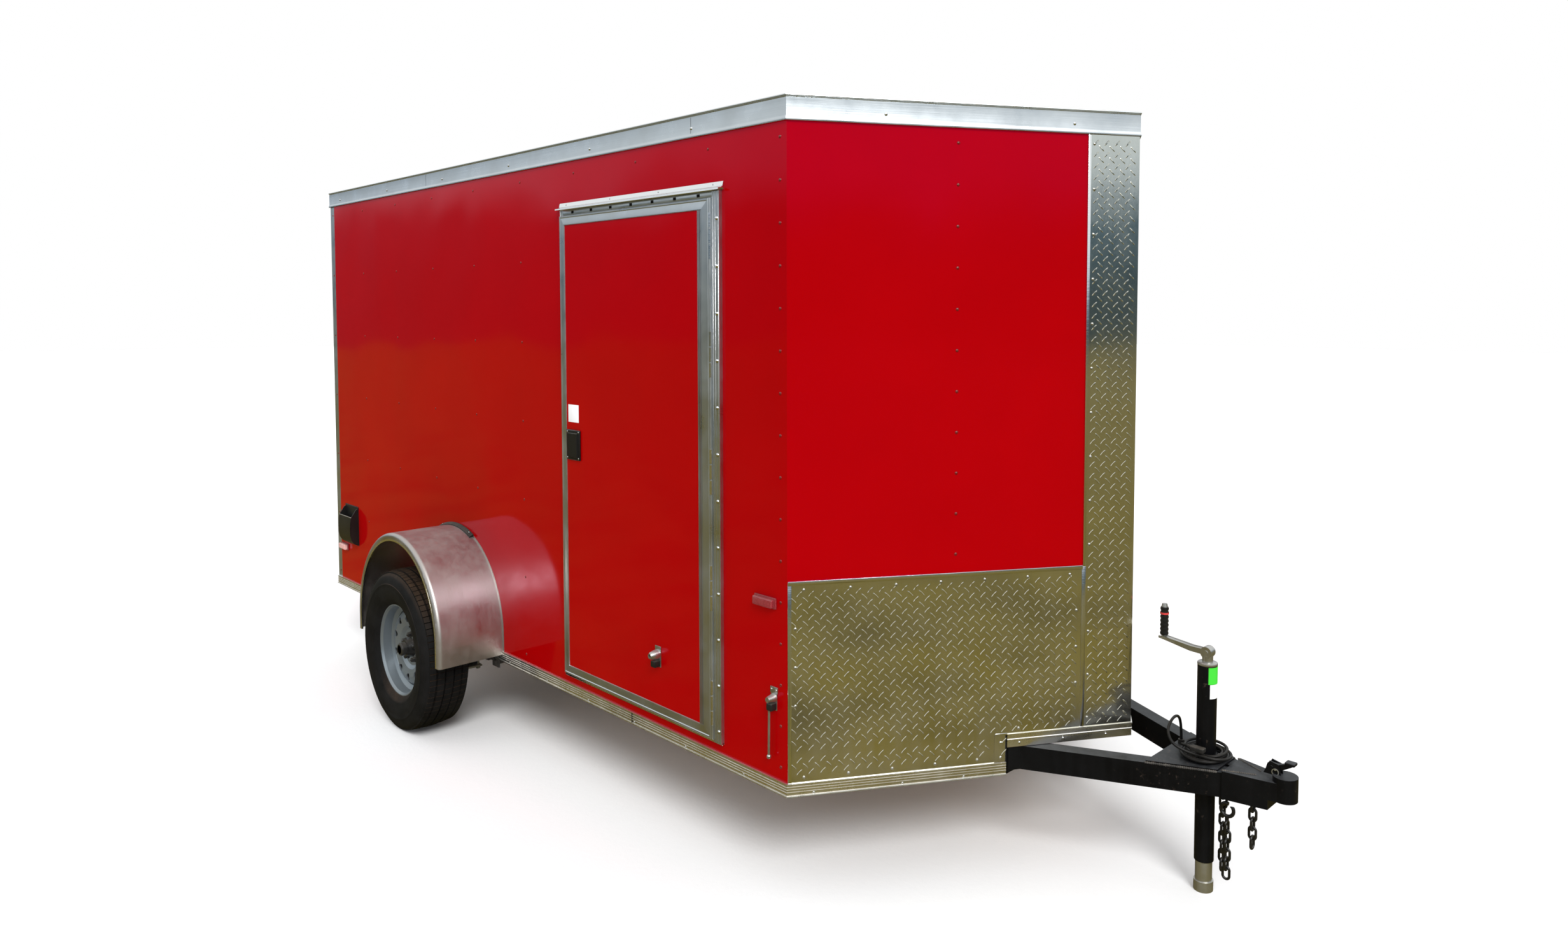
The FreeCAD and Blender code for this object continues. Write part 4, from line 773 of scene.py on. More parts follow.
class LayCord(Operator):
    """Lay the wiring cord from its gland into the coil round the jack, with its plug"""

    bl_idname = "trailer.lay_cord"
    bl_label = "Lay the cord"

    def execute(self, context):
        sizes = context.scene.trailer_cord
        base = Vector((halfway("jack_tube"), 0, high("tongue_plate").z))
        route = [base + Vector(spot) * MM for spot in (
            (-104, 44, 14), (-106, 46, 60), (-102, 20, 100), (-98, -28, 108),
            (-94, -74, 84), (-66, -98, 54), (-26, -80, 34), (10, -63, 28))]
        route += [base + spot * MM for spot in self.coil_spots()]
        cord = self.curve("wiring_cord", route, sizes.diameter / 2)
        plug = self.plug(high("cord_coil").z)
        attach(cord, "trailer")
        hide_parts("cord_tube", "cord_coil")
        return {"FINISHED"}

    def coil_spots(self):
        """Turns round the jack, in millimetres from its foot on the plate: each keeps to its own lane."""
        lanes = ((76.5, 13.6), (67, 13.6), (57, 13.6), (59, 23), (50, 23.2), (64, 33))
        count = 16
        start, crossing = math.radians(-81), math.radians(-97)
        spots = []
        before = (63.8, 28)
        for turn, lane in enumerate(lanes):
            for step in range(1, count + 1):
                share = step / count
                angle = start + math.tau * share
                wide = before[0] + (lane[0] - before[0]) * min(1, share / 0.15)
                rise = before[1] + (lane[1] - before[1]) * min(1, share / 0.30)
                if turn in (3, 4):
                    away = abs((angle - crossing + math.pi) % math.tau - math.pi)
                    wide -= 8 * max(0, 1 - away / math.radians(42))
                spots.append(Vector((wide * math.cos(angle), wide * math.sin(angle), rise)))
            before = lane
        spots = spots[:-3]
        spots += [Vector((-58, -48, 40)), Vector((-44, -60, 45.5)), Vector((-22, -64, 46))]
        return spots

    def curve(self, name, route, radius):
        """A round cord along a smooth spline."""
        made = bpy.data.curves.new(name, "CURVE")
        made.dimensions = "3D"
        made.bevel_depth = radius
        made.bevel_resolution = 4
        made.resolution_u = 6
        made.use_fill_caps = True
        spline = made.splines.new("NURBS")
        spline.points.add(len(route) - 1)
        for point, spot in zip(spline.points, route):
            point.co = (*spot, 1.0)
        spline.order_u = 3
        spline.use_endpoint_u = True
        made.materials.append(FINISHES["cord_rubber"])
        cord = bpy.data.objects.new(name, made)
        bpy.context.scene.collection.objects.link(cord)
        return cord

    def plug(self, top):
        """The moulded plug that lies on the coil."""
        bm = bmesh.new()
        start, end = ends("cord_plug")
        cuboid(bm, (start.x + 0.012, start.y, top), (end.x, end.y, end.z), bevel=0.003, segments=3)
        middle = (start + end) / 2
        bar(bm, (start.x, middle.y, middle.z), (start.x + 0.014, middle.y, middle.z), 0.0048, 0.0068)
        return piece("cord_plug_body", bm, "trailer", "black_rubber", ["cord_plug"])


# ---------------------------------------------------------------- trims

def body_stations(side, back, nose_end=None):
    """Stations along one side of the body, from the rear to a place on the nose or to its tip."""
    spots = [
        (Vector((back, side * HALF, 0)), Vector((0, side, 0))),
        (Vector((CORNER, side * HALF, 0)), Vector(((LIFT - 1) * DEPTH / HALF, side, 0))),
    ]
    if nose_end is None:
        spots.append((Vector((TIP, 0, 0)), Vector((RUN / HALF, 0, 0))))
    else:
        place = nose_face(side)
        spots.append((place @ Vector((nose_along(nose_end), 0, 0)), outward(place)))
    return spots


class FitRoofTrim(Operator):
    """Fit the fascia round the roof, its screws and its joints"""

    bl_idname = "trailer.fit_roof_trim"
    bl_label = "Fit the roof trim"

    def execute(self, context):
        sizes = context.scene.trailer_shell
        base = low("roof_trim").z
        top = ROOF_TOP - base
        outline = [(-0.024, top - 0.003), (-0.024, top), (0.0035, top), (0.0062, top - 0.0012),
                   (0.0068, top - 0.0035), (0.0062, top - 0.0058), (0.0036, top - 0.0072),
                   (0.0028, top - 0.0092), (0.0040, top - 0.0105), (0.0040, 0.0150), (0.0048, 0.0105),
                   (0.0064, 0.0070), (0.0068, 0.0030), (0.0062, 0.0), (0.0040, 0.0), (0.0044, 0.0030),
                   (0.0030, 0.0080), (0.0004, 0.0110), (0.0004, top - 0.003)]
        outline = [(out, up + base) for out, up in outline]
        rear = [(Vector((REAR, side * HALF, 0)), Vector((-1, side, 0))) for side in (RIGHT, LEFT)]
        middle = (Vector((REAR, 0, 0)), Vector((-1, 0, 0)))
        right = body_stations(RIGHT, REAR)[1:]
        left = body_stations(LEFT, REAR)[1:2]
        bm = bmesh.new()
        sweep(bm, outline, [middle, rear[0], *right, *left, rear[1], middle])
        piece("roof_fascia", bm, "trailer", "trim_aluminium", ["roof_trim"], crease=28)
        self.fit_screws(sizes, base)
        self.fit_roof_seams()
        return {"FINISHED"}

    def fit_screws(self, sizes, base):
        bm = bmesh.new()
        joints = bmesh.new()
        for side in (RIGHT, LEFT):
            for place, start, end in ((side_face(side), REAR + 0.15, CORNER - 0.05),
                                      (nose_face(side), 0.30, RUN)):
                spot = start
                while spot < end:
                    screw(bm, (spot, 0.0042, base + 0.030), place, sizes.screw_radius, 0.0028)
                    spot += sizes.trim_screw_pitch
            for spot in (REAR + 1.20, CORNER - 0.46):
                cuboid(joints, (spot, 0.0036, base + 0.012), (spot + 0.0012, 0.0043, ROOF_TOP - 0.012),
                       side_face(side))
        piece("fascia_screws", bm, "trailer", "screw_bright")
        piece("fascia_joints", joints, "trailer", "gap_shadow")

    def fit_roof_seams(self):
        """Rolled seams across the roof sheet, under the fascia's height."""
        bm = bmesh.new()
        top = high("roof").z
        for index in range(1, 6):
            x = REAR + (CORNER - REAR) * index / 6
            cuboid(bm, (x - 0.010, -HALF + 0.03, top - 0.001), (x + 0.010, HALF - 0.03, top + 0.0018),
                   bevel=0.0008)
        piece("roof_seams", bm, "trailer", "roof_white")


class FitBottomTrim(Operator):
    """Fit the ribbed trim along the bottom and the trim above the tongue"""

    bl_idname = "trailer.fit_bottom_trim"
    bl_label = "Fit the bottom trim"

    def execute(self, context):
        tall = 0.041
        ribs = [(0.0, 0.0), (0.0080, 0.0), (0.0086, 0.0014), (0.0080, 0.0038), (0.0046, 0.0052)]
        for start in (0.0125, 0.0205, 0.0285):
            ribs += [(0.0046, start), (0.0068, start + 0.0010), (0.0068, start + 0.0024),
                     (0.0046, start + 0.0036)]
        ribs += [(0.0046, tall - 0.0040), (0.0068, tall - 0.0024), (0.0064, tall), (0.0, tall)]
        outline = [(out, up + SKIRT) for out, up in ribs]
        notch = high("notch_caps").x - 0.0015
        bm = bmesh.new()
        for side in (RIGHT, LEFT):
            sweep(bm, outline, body_stations(side, REAR, notch))
        piece("skirt_trim", bm, "trailer", "skirt_metal", ["bottom_trim"], crease=25)
        base = high("notch_caps").z + 0.002 - tall
        bright = [(0.0, 0.0), (-0.0255, 0.0), (-0.0255, -0.0020), (0.0042, -0.0020), (0.0042, 0.0170),
                  (0.0060, 0.0190), (0.0060, 0.0230), (0.0042, 0.0250), (0.0042, tall - 0.0070),
                  (0.0066, tall - 0.0050), (0.0066, tall), (0.0, tall)]
        outline = [(out, up + base) for out, up in bright]
        right, left = [body_stations(side, REAR, notch + 0.002)[-1] for side in (RIGHT, LEFT)]
        tip = body_stations(RIGHT, REAR)[-1]
        bm = bmesh.new()
        sweep(bm, outline, [right, tip, left])
        piece("tongue_trim", bm, "trailer", "skirt_metal", crease=25)
        self.shade_notch(notch + 0.0025, base, base + tall)
        self.fit_screws(context.scene.trailer_shell, base, notch)
        return {"FINISHED"}

    def shade_notch(self, cut, bottom, top):
        """Black strips in the notch above the tongue: on its inner face partly the black beam behind it and
        partly painted shade, and a thin black line up the nose sheets' edges as a painted gap shadow.
        """
        thick, gap = 0.0014, 0.0020
        face = HALF * (1 - (cut - CORNER) / DEPTH)
        bm = bmesh.new()
        for side in (RIGHT, LEFT):
            # The notch's inner face: partly the black beam behind it, partly painted shade.
            near, far = sorted((side * (face + 0.0010), side * (face - 0.0450)))
            cuboid(bm, (cut, near, SKIRT + gap), (cut + thick, far, bottom - gap))
            # A thin black line up the sheet's edge: a painted shadow in the gap.
            near, far = sorted((side * (face + 0.0048), side * (face - 0.0010)))
            cuboid(bm, (cut - thick, near, SKIRT + gap), (cut + thick, far, top))
        piece("notch_shade_strips", bm, "trailer", "black_steel")

    def fit_screws(self, sizes, base, notch):
        bm = bmesh.new()
        gaps = bmesh.new()
        for side in (RIGHT, LEFT):
            spot = REAR + 0.10
            while spot < CORNER:
                screw(bm, (spot, 0.0046, SKIRT + 0.0085), side_face(side), 0.0040, 0.0022)
                spot += sizes.trim_screw_pitch / 2
            place = nose_face(side)
            for along in (0.08, 0.36, 0.56):
                screw(bm, (along, 0.0046, SKIRT + 0.0085), place, 0.0040, 0.0022)
            for index in range(3):
                along = nose_along(notch) + 0.045 + index * 0.15
                screw(bm, (along, 0.0042, base + 0.0100), place, 0.0044, 0.0024)
            for level in (0.012, 0.060):
                screw(bm, (nose_along(notch) - 0.018, 0.0042, SKIRT + 0.045 + level), place, 0.0048, 0.0026)
            cuboid(gaps, (0.44, 0.0035, SKIRT), (0.4412, 0.0069, SKIRT + 0.0405), side_face(side))
        piece("skirt_screws", bm, "trailer", "screw_bright")
        piece("skirt_joints", gaps, "trailer", "gap_shadow")


# ---------------------------------------------------------------- skins

class ScrewSkins(Operator):
    """Put the painted screws in the skins along the studs"""

    bl_idname = "trailer.screw_skins"
    bl_label = "Screw the skins"

    def execute(self, context):
        sizes = context.scene.trailer_shell
        bottom, top = SKIRT + 0.075, low("roof_trim").z - 0.045
        rows = int((top - bottom) / sizes.screw_pitch)
        levels = [bottom + (top - bottom) * index / rows for index in range(rows + 1)]
        fender = (low("fenders").x - 0.03, high("fenders").x + 0.03, high("fenders").z + 0.03)
        door = (low("side_door_frame").x - 0.02, high("side_door_frame").x + 0.02, high("drip_cap").z + 0.02)
        vent = (low("side_vents").x - 0.02, high("side_vents").x + 0.02, high("side_vents").z + 0.02)
        bm = bmesh.new()
        for side in (RIGHT, LEFT):
            spot = REAR + 0.032
            while spot < CORNER:
                for level in levels:
                    shut = [fender, vent] + ([door] if side == RIGHT else [])
                    if not any(start < spot < end and level < ceiling for start, end, ceiling in shut):
                        screw(bm, (spot, 0.0, level), side_face(side), 0.0048, 0.0022)
                spot += sizes.stud_pitch
            level = top
            while level > bottom:
                screw(bm, (CORNER - 0.030, 0.0, level), side_face(side), sizes.screw_radius, 0.0026)
                if level > high("stone_guards").z + 0.02:
                    screw(bm, (RUN * 0.467, 0.0, level), nose_face(side), sizes.screw_radius, 0.0026)
                level -= sizes.close_pitch
        piece("skin_screws", bm, "trailer", "red_screw")
        return {"FINISHED"}


class LineInside(Operator):
    """Line the load space with plywood, ceiling bows and a dome lamp"""

    bl_idname = "trailer.line_inside"
    bl_label = "Line the inside"

    def execute(self, context):
        wall = high("left_wall").y - 0.038
        floor_top = high("floor").z
        back = high("rear_frame").x + 0.002
        bm = bmesh.new()
        inner, face = HALF - wall + 0.0003, HALF - wall + 0.0040
        doorway = (low("side_door_panel").x - 0.012, high("side_door_panel").x + 0.012,
                   high("side_door_panel").z)
        spans = {
            LEFT: [(back, CORNER - 0.025, floor_top)],
            RIGHT: [(back, doorway[0], floor_top), (doorway[1], CORNER - 0.025, floor_top),
                    (doorway[0], doorway[1], doorway[2] + 0.013)],
        }
        sheet_width = 1.22
        for side, runs in spans.items():
            for start, end, bottom in runs:
                sheets = max(1, round((end - start) / sheet_width))
                for index in range(sheets):
                    first = start + (end - start) * index / sheets + 0.001
                    last = start + (end - start) * (index + 1) / sheets - 0.001
                    cuboid(bm, (first, -face, bottom + 0.002), (last, -inner, ROOF_LOW - 0.03),
                           side_face(side), 0.0006, 1)
            cuboid(bm, (0.026, -face, floor_top + 0.002), (RUN - 0.032, -inner, ROOF_LOW - 0.03),
                   nose_face(side), 0.0006, 1)
        piece("wall_liner", bm, "trailer", "plywood")
        bm = bmesh.new()
        bows, first_bow, bow_pitch = 7, back + 0.05, 0.58
        reach = wall - 0.006
        for index in range(bows):
            x = first_bow + index * bow_pitch
            if x < CORNER:
                cuboid(bm, (x, -reach, ROOF_LOW - 0.026), (x + 0.038, reach, ROOF_LOW), bevel=0.002)
        piece("roof_bows", bm, "trailer", "zinc")
        bm = bmesh.new()
        middle = Vector((first_bow + bow_pitch * bows / 2, 0, ROOF_LOW))
        bar(bm, middle, middle - UP * 0.010, 0.085, 0.080, 40)
        piece("dome_lamp_base", bm, "trailer", "liner_white")
        bm = bmesh.new()
        outline = [(0.010, 0.0), (0.010, 0.072), (0.026, 0.066), (0.036, 0.044), (0.040, 0.0)]
        turned(bm, outline, middle, 40, along=-UP)
        piece("dome_lamp_lens", bm, "trailer", "lens_clear")
        return {"FINISHED"}


# ---------------------------------------------------------------- tread plate

def tread_bars(bm, place, region, sheet, sizes):
    """Raised bars over a region of a face: (start, end, bottom, top)."""
    start, end, bottom, top = region
    half_cell = sizes.cell / 2
    margin = sizes.bar * 0.36
    lie = Matrix.Rotation(-math.pi / 2, 4, "X")
    scale = Matrix.Diagonal((sizes.bar / 2, sizes.width / 2, sizes.height, 1.0))
    for column in range(math.ceil((start + margin) / half_cell), math.floor((end - margin) / half_cell) + 1):
        for row in range(math.ceil((bottom + margin) / half_cell),
                         math.floor((top - margin) / half_cell) + 1):
            if (column + row) % 2:
                continue
            turn = Matrix.Rotation(math.radians(45 if column % 2 else -45), 4, "Y")
            spot = Matrix.Translation((column * half_cell, sheet + sizes.height * 0.4, row * half_cell))
            bmesh.ops.create_cone(bm, cap_ends=True, cap_tris=False, segments=10, radius1=1, radius2=0.66,
                                  depth=1, matrix=place @ spot @ turn @ lie @ scale)


class RollTreadPlate(Operator):
    """Raise the bars of the tread plate on the guards, the column and the notch caps"""

    bl_idname = "trailer.roll_tread_plate"
    bl_label = "Roll the tread plate"

    def execute(self, context):
        sizes = context.scene.trailer_tread
        guard_low, guard_high = ends("stone_guards")
        cap_start = nose_along(low("notch_caps").x)
        cap_end = nose_along(high("notch_caps").x)
        guard_end = nose_along(guard_high.x) - 0.006
        step = low("nose_column").z
        sheet = 0.002
        for side, word in ((RIGHT, "right"), (LEFT, "left")):
            place = nose_face(side)
            bm = bmesh.new()
            tread_bars(bm, place, (0.006, cap_start - 0.004, guard_low.z + 0.006, step), sheet, sizes)
            tread_bars(bm, place, (0.006, guard_end, step, guard_high.z - 0.008), sheet, sizes)
            tread_bars(bm, place, (cap_start, cap_end, guard_low.z, step), sheet * 2, sizes)
            piece(f"guard_tread_{word}", bm, "trailer", "tread_metal", crease=20)
            bm = bmesh.new()
            column_start = nose_along(low("nose_column").x) + 0.004
            tread_bars(bm, place, (column_start, RUN - 0.006, step, high("nose_column").z), sheet, sizes)
            piece(f"column_tread_{word}", bm, "trailer", "tread_metal", crease=20)
        self.fit_edges(guard_high.z, step, guard_end)
        return {"FINISHED"}

    def fit_edges(self, top, step, guard_end):
        """Bright strips and screws round the tread plate."""
        bm = bmesh.new()
        screws = bmesh.new()
        low_end = low("stone_guards").z
        seam = nose_along(low("nose_column").x)
        ceiling = high("nose_column").z
        cap_start, cap_end = nose_along(low("notch_caps").x), nose_along(high("notch_caps").x)
        for side in (RIGHT, LEFT):
            place = nose_face(side)
            cuboid(bm, (0.001, 0.0, top - 0.006), (guard_end + 0.004, 0.0052, top + 0.007), place, 0.0014)
            cuboid(bm, (0.0005, 0.0, low_end), (0.0125, 0.0046, top), place, 0.0014)
            cuboid(bm, (seam - 0.007, 0.0, step), (seam + 0.007, 0.0046, top + 0.004), place, 0.0014)
            cuboid(bm, (seam - 0.003, 0.0, top), (seam + 0.007, 0.0042, ceiling), place, 0.0012)
            cuboid(bm, (cap_start - 0.002, 0.0, step - 0.003), (cap_end + 0.001, 0.0040, step + 0.003),
                   place, 0.0008)
            spots = []
            for share in even(7):
                spots.append((0.05 + (guard_end - 0.09) * share, top - 0.020))
            for share in even(6):
                spots.append((0.05 + (guard_end - 0.26) * share, low_end + (0.106 if share == 1 else 0.016)))
            for edge in (0.024, guard_end - 0.016):
                for share in even(5)[1:4]:
                    spots.append((edge, low_end + 0.12 + (top - low_end - 0.14) * share))
            for share in even(14):
                spots.append((seam + 0.018, step + 0.03 + (ceiling - step - 0.06) * share))
            for along, level in spots:
                screw(screws, (along, 0.0030, level), place, 0.0046, 0.0026)
        piece("tread_edges", bm, "trailer", "polished_trim")
        piece("tread_screws", screws, "trailer", "zinc")


# ---------------------------------------------------------------- side door

def ring_stations(place, start, end):
    """Mitred stations round a rectangle in a face's (along, up) plane."""
    turn = place.to_3x3()
    corners = ((start[0], start[1], -1, -1), (end[0], start[1], 1, -1), (end[0], end[1], 1, 1),
               (start[0], end[1], -1, 1))
    return [(place @ Vector((x, 0, z)), turn @ Vector((a, 0, b))) for x, z, a, b in corners]


class TrimSideDoor(Operator):
    """Fit the side door's rim, seal, hinge strip, latch, catch, hold-back and drip cap"""

    bl_idname = "trailer.trim_side_door"
    bl_label = "Trim the side door"

    def execute(self, context):
        place = side_face(RIGHT)
        start, end = ends("side_door_rim")
        base = -HALF - end.y
        self.fit_rim(place, start, end, base)
        self.fit_frame(place, start, end)
        self.fit_latch(place)
        self.fit_catch(place)
        self.fit_holdback(place)
        self.fit_drip_cap(place)
        return {"FINISHED"}

    def fit_rim(self, place, start, end, base):
        """The rounded rim of the leaf, ribbed along its hinge side."""
        out = outward(place)
        outline = [(0.0, base), (0.0, base + 0.0060), (-0.0020, base + 0.0085), (-0.0060, base + 0.0085),
                   (-0.0085, base + 0.0068), (-0.0200, base + 0.0078), (-0.0320, base + 0.0092),
                   (-0.0352, base + 0.0088), (-0.0360, base + 0.0062), (-0.0360, base + 0.0050),
                   (-0.0300, base)]
        bm = bmesh.new()
        sweep(bm, outline, ring_stations(place, (start.x, start.z), (end.x, end.z)), up=out, closed=True)
        for index in range(4):
            x = end.x - 0.0375 - index * 0.0052
            cuboid(bm, (x - 0.0012, base + 0.006, start.z + 0.036),
                   (x + 0.0012, base + 0.0098, end.z - 0.036), place, 0.0005, 1)
        piece("door_rim_trim", bm, "side_door", "frame_aluminium",
              ["side_door_rim"], crease=25)

    def fit_frame(self, place, start, end):
        """The seal, the hinge strip with its knuckles and rivets, and the strip over the leaf."""
        frame_low, frame_high = ends("side_door_frame")
        seal = bmesh.new()
        out = outward(place)
        outline = [(-0.004, 0.0062), (-0.004, 0.0105), (-0.016, 0.0105), (-0.016, 0.0062)]
        sweep(seal, outline, ring_stations(place, (start.x, start.z), (end.x, end.z)), up=out, closed=True)
        piece("door_seal", seal, "trailer", "black_rubber")
        bm = bmesh.new()
        strip = end.x + 0.012
        for x in (strip + 0.0045, frame_high.x - 0.0040, frame_high.x - 0.0200):
            cuboid(bm, (x - 0.0012, 0.0115, frame_low.z), (x + 0.0012, 0.0134, frame_high.z),
                   place, 0.0005, 1)
        cuboid(bm, (frame_low.x, 0.0, frame_low.z - 0.004), (frame_high.x, 0.0080, frame_low.z + 0.004),
               place, 0.001)
        cuboid(bm, (frame_low.x - 0.001, 0.0, frame_low.z), (frame_low.x + 0.003, 0.0080, frame_high.z),
               place, 0.001)
        knuckle, half_knuckle = strip - 0.005, 0.023
        for share in even(5):
            middle = start.z + 0.12 + (end.z - start.z - 0.24) * share
            for level in (middle - 0.05, middle, middle + 0.05):
                bar(bm, (knuckle, 0.0170, level - half_knuckle), (knuckle, 0.0170, level + half_knuckle),
                    0.0048, segments=16, place=place)
        piece("hinge_trim", bm, "trailer", "polished_trim")
        bm = bmesh.new()
        level = frame_low.z + 0.04
        while level < frame_high.z - 0.02:
            screw(bm, (frame_high.x - 0.0115, 0.0130, level), place, 0.0062, 0.0040)
            level += 0.150
        piece("hinge_rivets", bm, "trailer", "screw_bright")
        bm = bmesh.new()
        top = end.z + 0.0035
        cuboid(bm, (start.x + 0.01, 0.006, top), (end.x + 0.030, 0.0085, top + 0.017), place, 0.0008)
        piece("door_head_strip", bm, "trailer", "frame_aluminium")
        bm = bmesh.new()
        for index in range(7):
            x = start.x + 0.07 + index * 0.128
            cuboid(bm, (x, 0.0080, top + 0.0035), (x + 0.016, 0.0090, top + 0.0135), place, 0.0008)
        piece("door_head_slots", bm, "trailer", "gap_shadow")

    def fit_latch(self, place):
        """The sunk paddle latch with its lock, and the blank label above it."""
        start, end = ends("side_door_latch")
        base = -HALF - end.y
        rise = base + 0.0075
        bm = bmesh.new()
        cuboid(bm, (start.x, base, start.z), (end.x, rise, end.z), place, 0.004, 4)
        bm.faces.ensure_lookup_table()
        out = outward(place)
        face = max(bm.faces, key=lambda item: item.calc_center_median().dot(out) + item.calc_area())
        bmesh.ops.inset_region(bm, faces=[face], thickness=0.010, depth=0)
        bmesh.ops.inset_region(bm, faces=[face], thickness=0.003, depth=-0.005)
        middle_x, middle_z = (start.x + end.x) / 2, (start.z + end.z) / 2
        corners = [(-0.026, 0.018), (0.020, 0.020), (0.026, 0.0), (0.020, -0.020), (-0.026, -0.018)]
        paddle = [(middle_x + x, middle_z + 0.012 + z) for x, z in corners]
        prism(bm, paddle, base + 0.003, base + 0.0078, place)
        piece("door_latch_tray", bm, "side_door", "black_plastic", ["side_door_latch"])
        bm = bmesh.new()
        spot = Vector((middle_x, base + 0.002, middle_z - 0.026))
        bar(bm, spot, spot + Vector((0, 0.0062, 0)), 0.0092, 0.0086, 24, place)
        piece("door_latch_lock", bm, "side_door", "crank_steel")
        bm = bmesh.new()
        cuboid(bm, (spot.x - 0.001, base + 0.0080, spot.z - 0.0045),
               (spot.x + 0.001, base + 0.0086, spot.z + 0.0045), place)
        piece("door_latch_keyway", bm, "side_door", "gap_shadow")
        bm = bmesh.new()
        for x in (start.x + 0.006, end.x - 0.006):
            for z in (start.z + 0.008, end.z - 0.008):
                screw(bm, (x, rise, z), place, 0.0034, 0.0016)
        piece("door_latch_screws", bm, "side_door", "screw_bright")
        bm = bmesh.new()
        cuboid(bm, (start.x + 0.004, base - 0.0025, end.z + 0.028),
               (start.x + 0.076, base + 0.0008, end.z + 0.094), place, 0.0006)
        piece("door_label", bm, "side_door", "label_white")

    def fit_catch(self, place):
        """The plastic-lined socket on the leaf that holds the rod."""
        start, end = ends("side_door_catch")
        base, rise = -HALF - end.y, -HALF - start.y
        x, z = (start.x + end.x) / 2, (start.z + end.z) / 2
        reach = rise - base
        bm = bmesh.new()
        half = (end.x - start.x) / 2
        cuboid(bm, (start.x, base, start.z), (end.x, base + 0.0025, end.z), place, 0.0012)
        outline = [(0.0, half), (reach * 0.35, half * 0.98), (reach * 0.75, half * 0.80),
                   (reach * 0.92, half * 0.55), (reach * 0.92, half * 0.34), (reach * 0.5, half * 0.30),
                   (0.0, half * 0.28)]
        centre = place @ Vector((x, base, z + 0.008))
        turned(bm, outline, centre, 28, along=outward(place))
        piece("catch_shell", bm, "side_door", "crank_steel", ["side_door_catch"])
        bm = bmesh.new()
        bar(bm, (x, base + 0.004, z + 0.008), (x, base + reach * 0.72, z + 0.008), half * 0.46, segments=20,
            place=place)
        cuboid(bm, (start.x + 0.004, base, start.z + 0.002), (end.x - 0.004, base + reach * 0.62, z - 0.012),
               place, 0.003)
        piece("catch_core", bm, "side_door", "black_plastic")

    def fit_holdback(self, place):
        """The wall bracket with its hanging rod."""
        start, end = ends("door_holdback")
        x = (start.x + end.x) / 2
        top = end.z
        bm = bmesh.new()
        cuboid(bm, (x - 0.017, 0.0, top - 0.020), (x + 0.017, 0.0030, top), place, 0.0012)
        cuboid(bm, (x - 0.014, 0.0, top - 0.072), (x + 0.014, 0.0030, top - 0.018), place, 0.0012)
        bar(bm, (x, 0.002, top - 0.034), (x, 0.030, top - 0.034), 0.0150, 0.0085, 24, place)
        for shift in (-0.011, 0.011):
            screw(bm, (x + shift, 0.0030, top - 0.009), place, 0.0040, 0.0026)
        bar(bm, (x - 0.006, 0.0160, top - 0.046), (x - 0.008, 0.0160, start.z + 0.012), 0.0040, segments=14,
            place=place)
        bmesh.ops.create_uvsphere(bm, u_segments=14, v_segments=10, radius=0.0075,
                                  matrix=place @ Matrix.Translation((x - 0.008, 0.0160, start.z + 0.0085)))
        piece("holdback_bracket", bm, "trailer", "crank_steel", ["door_holdback"])
        bm = bmesh.new()
        cuboid(bm, (x - 0.012, 0.0, top - 0.070), (x + 0.012, 0.0250, top - 0.046), place, 0.004, 3)
        piece("holdback_boot", bm, "trailer", "black_plastic")

    def fit_drip_cap(self, place):
        """The curved rain rail over the door."""
        start, end = ends("drip_cap")
        height = end.z - start.z
        outline = [(0.0, 0.0), (0.0, height), (0.0022, height), (0.0034, height - 0.0020), (0.0060, 0.0115),
                   (0.0120, 0.0065), (0.0235, 0.0040), (0.0240, -0.0010), (0.0222, -0.0010), (0.0216, 0.0022),
                   (0.0110, 0.0042), (0.0045, 0.0060), (0.0030, 0.0)]
        outline = [(out, up + start.z) for out, up in outline]
        bm = bmesh.new()
        out = outward(place)
        sweep(bm, outline, [(place @ Vector((x, 0, 0)), out) for x in (start.x, end.x)])
        cuboid(bm, (start.x - 0.020, 0.001, start.z + 0.001), (start.x + 0.004, 0.010, start.z + 0.004),
               place, 0.001)
        piece("drip_rail", bm, "trailer", "polished_trim", ["drip_cap"], crease=30)
        bm = bmesh.new()
        for share in (0.05, 0.35, 0.65, 0.95):
            screw(bm, (start.x + (end.x - start.x) * share, 0.0034, start.z + 0.0185), place, 0.0044, 0.0024)
        piece("drip_screws", bm, "trailer", "screw_bright")


# ---------------------------------------------------------------- fenders, lights, vents

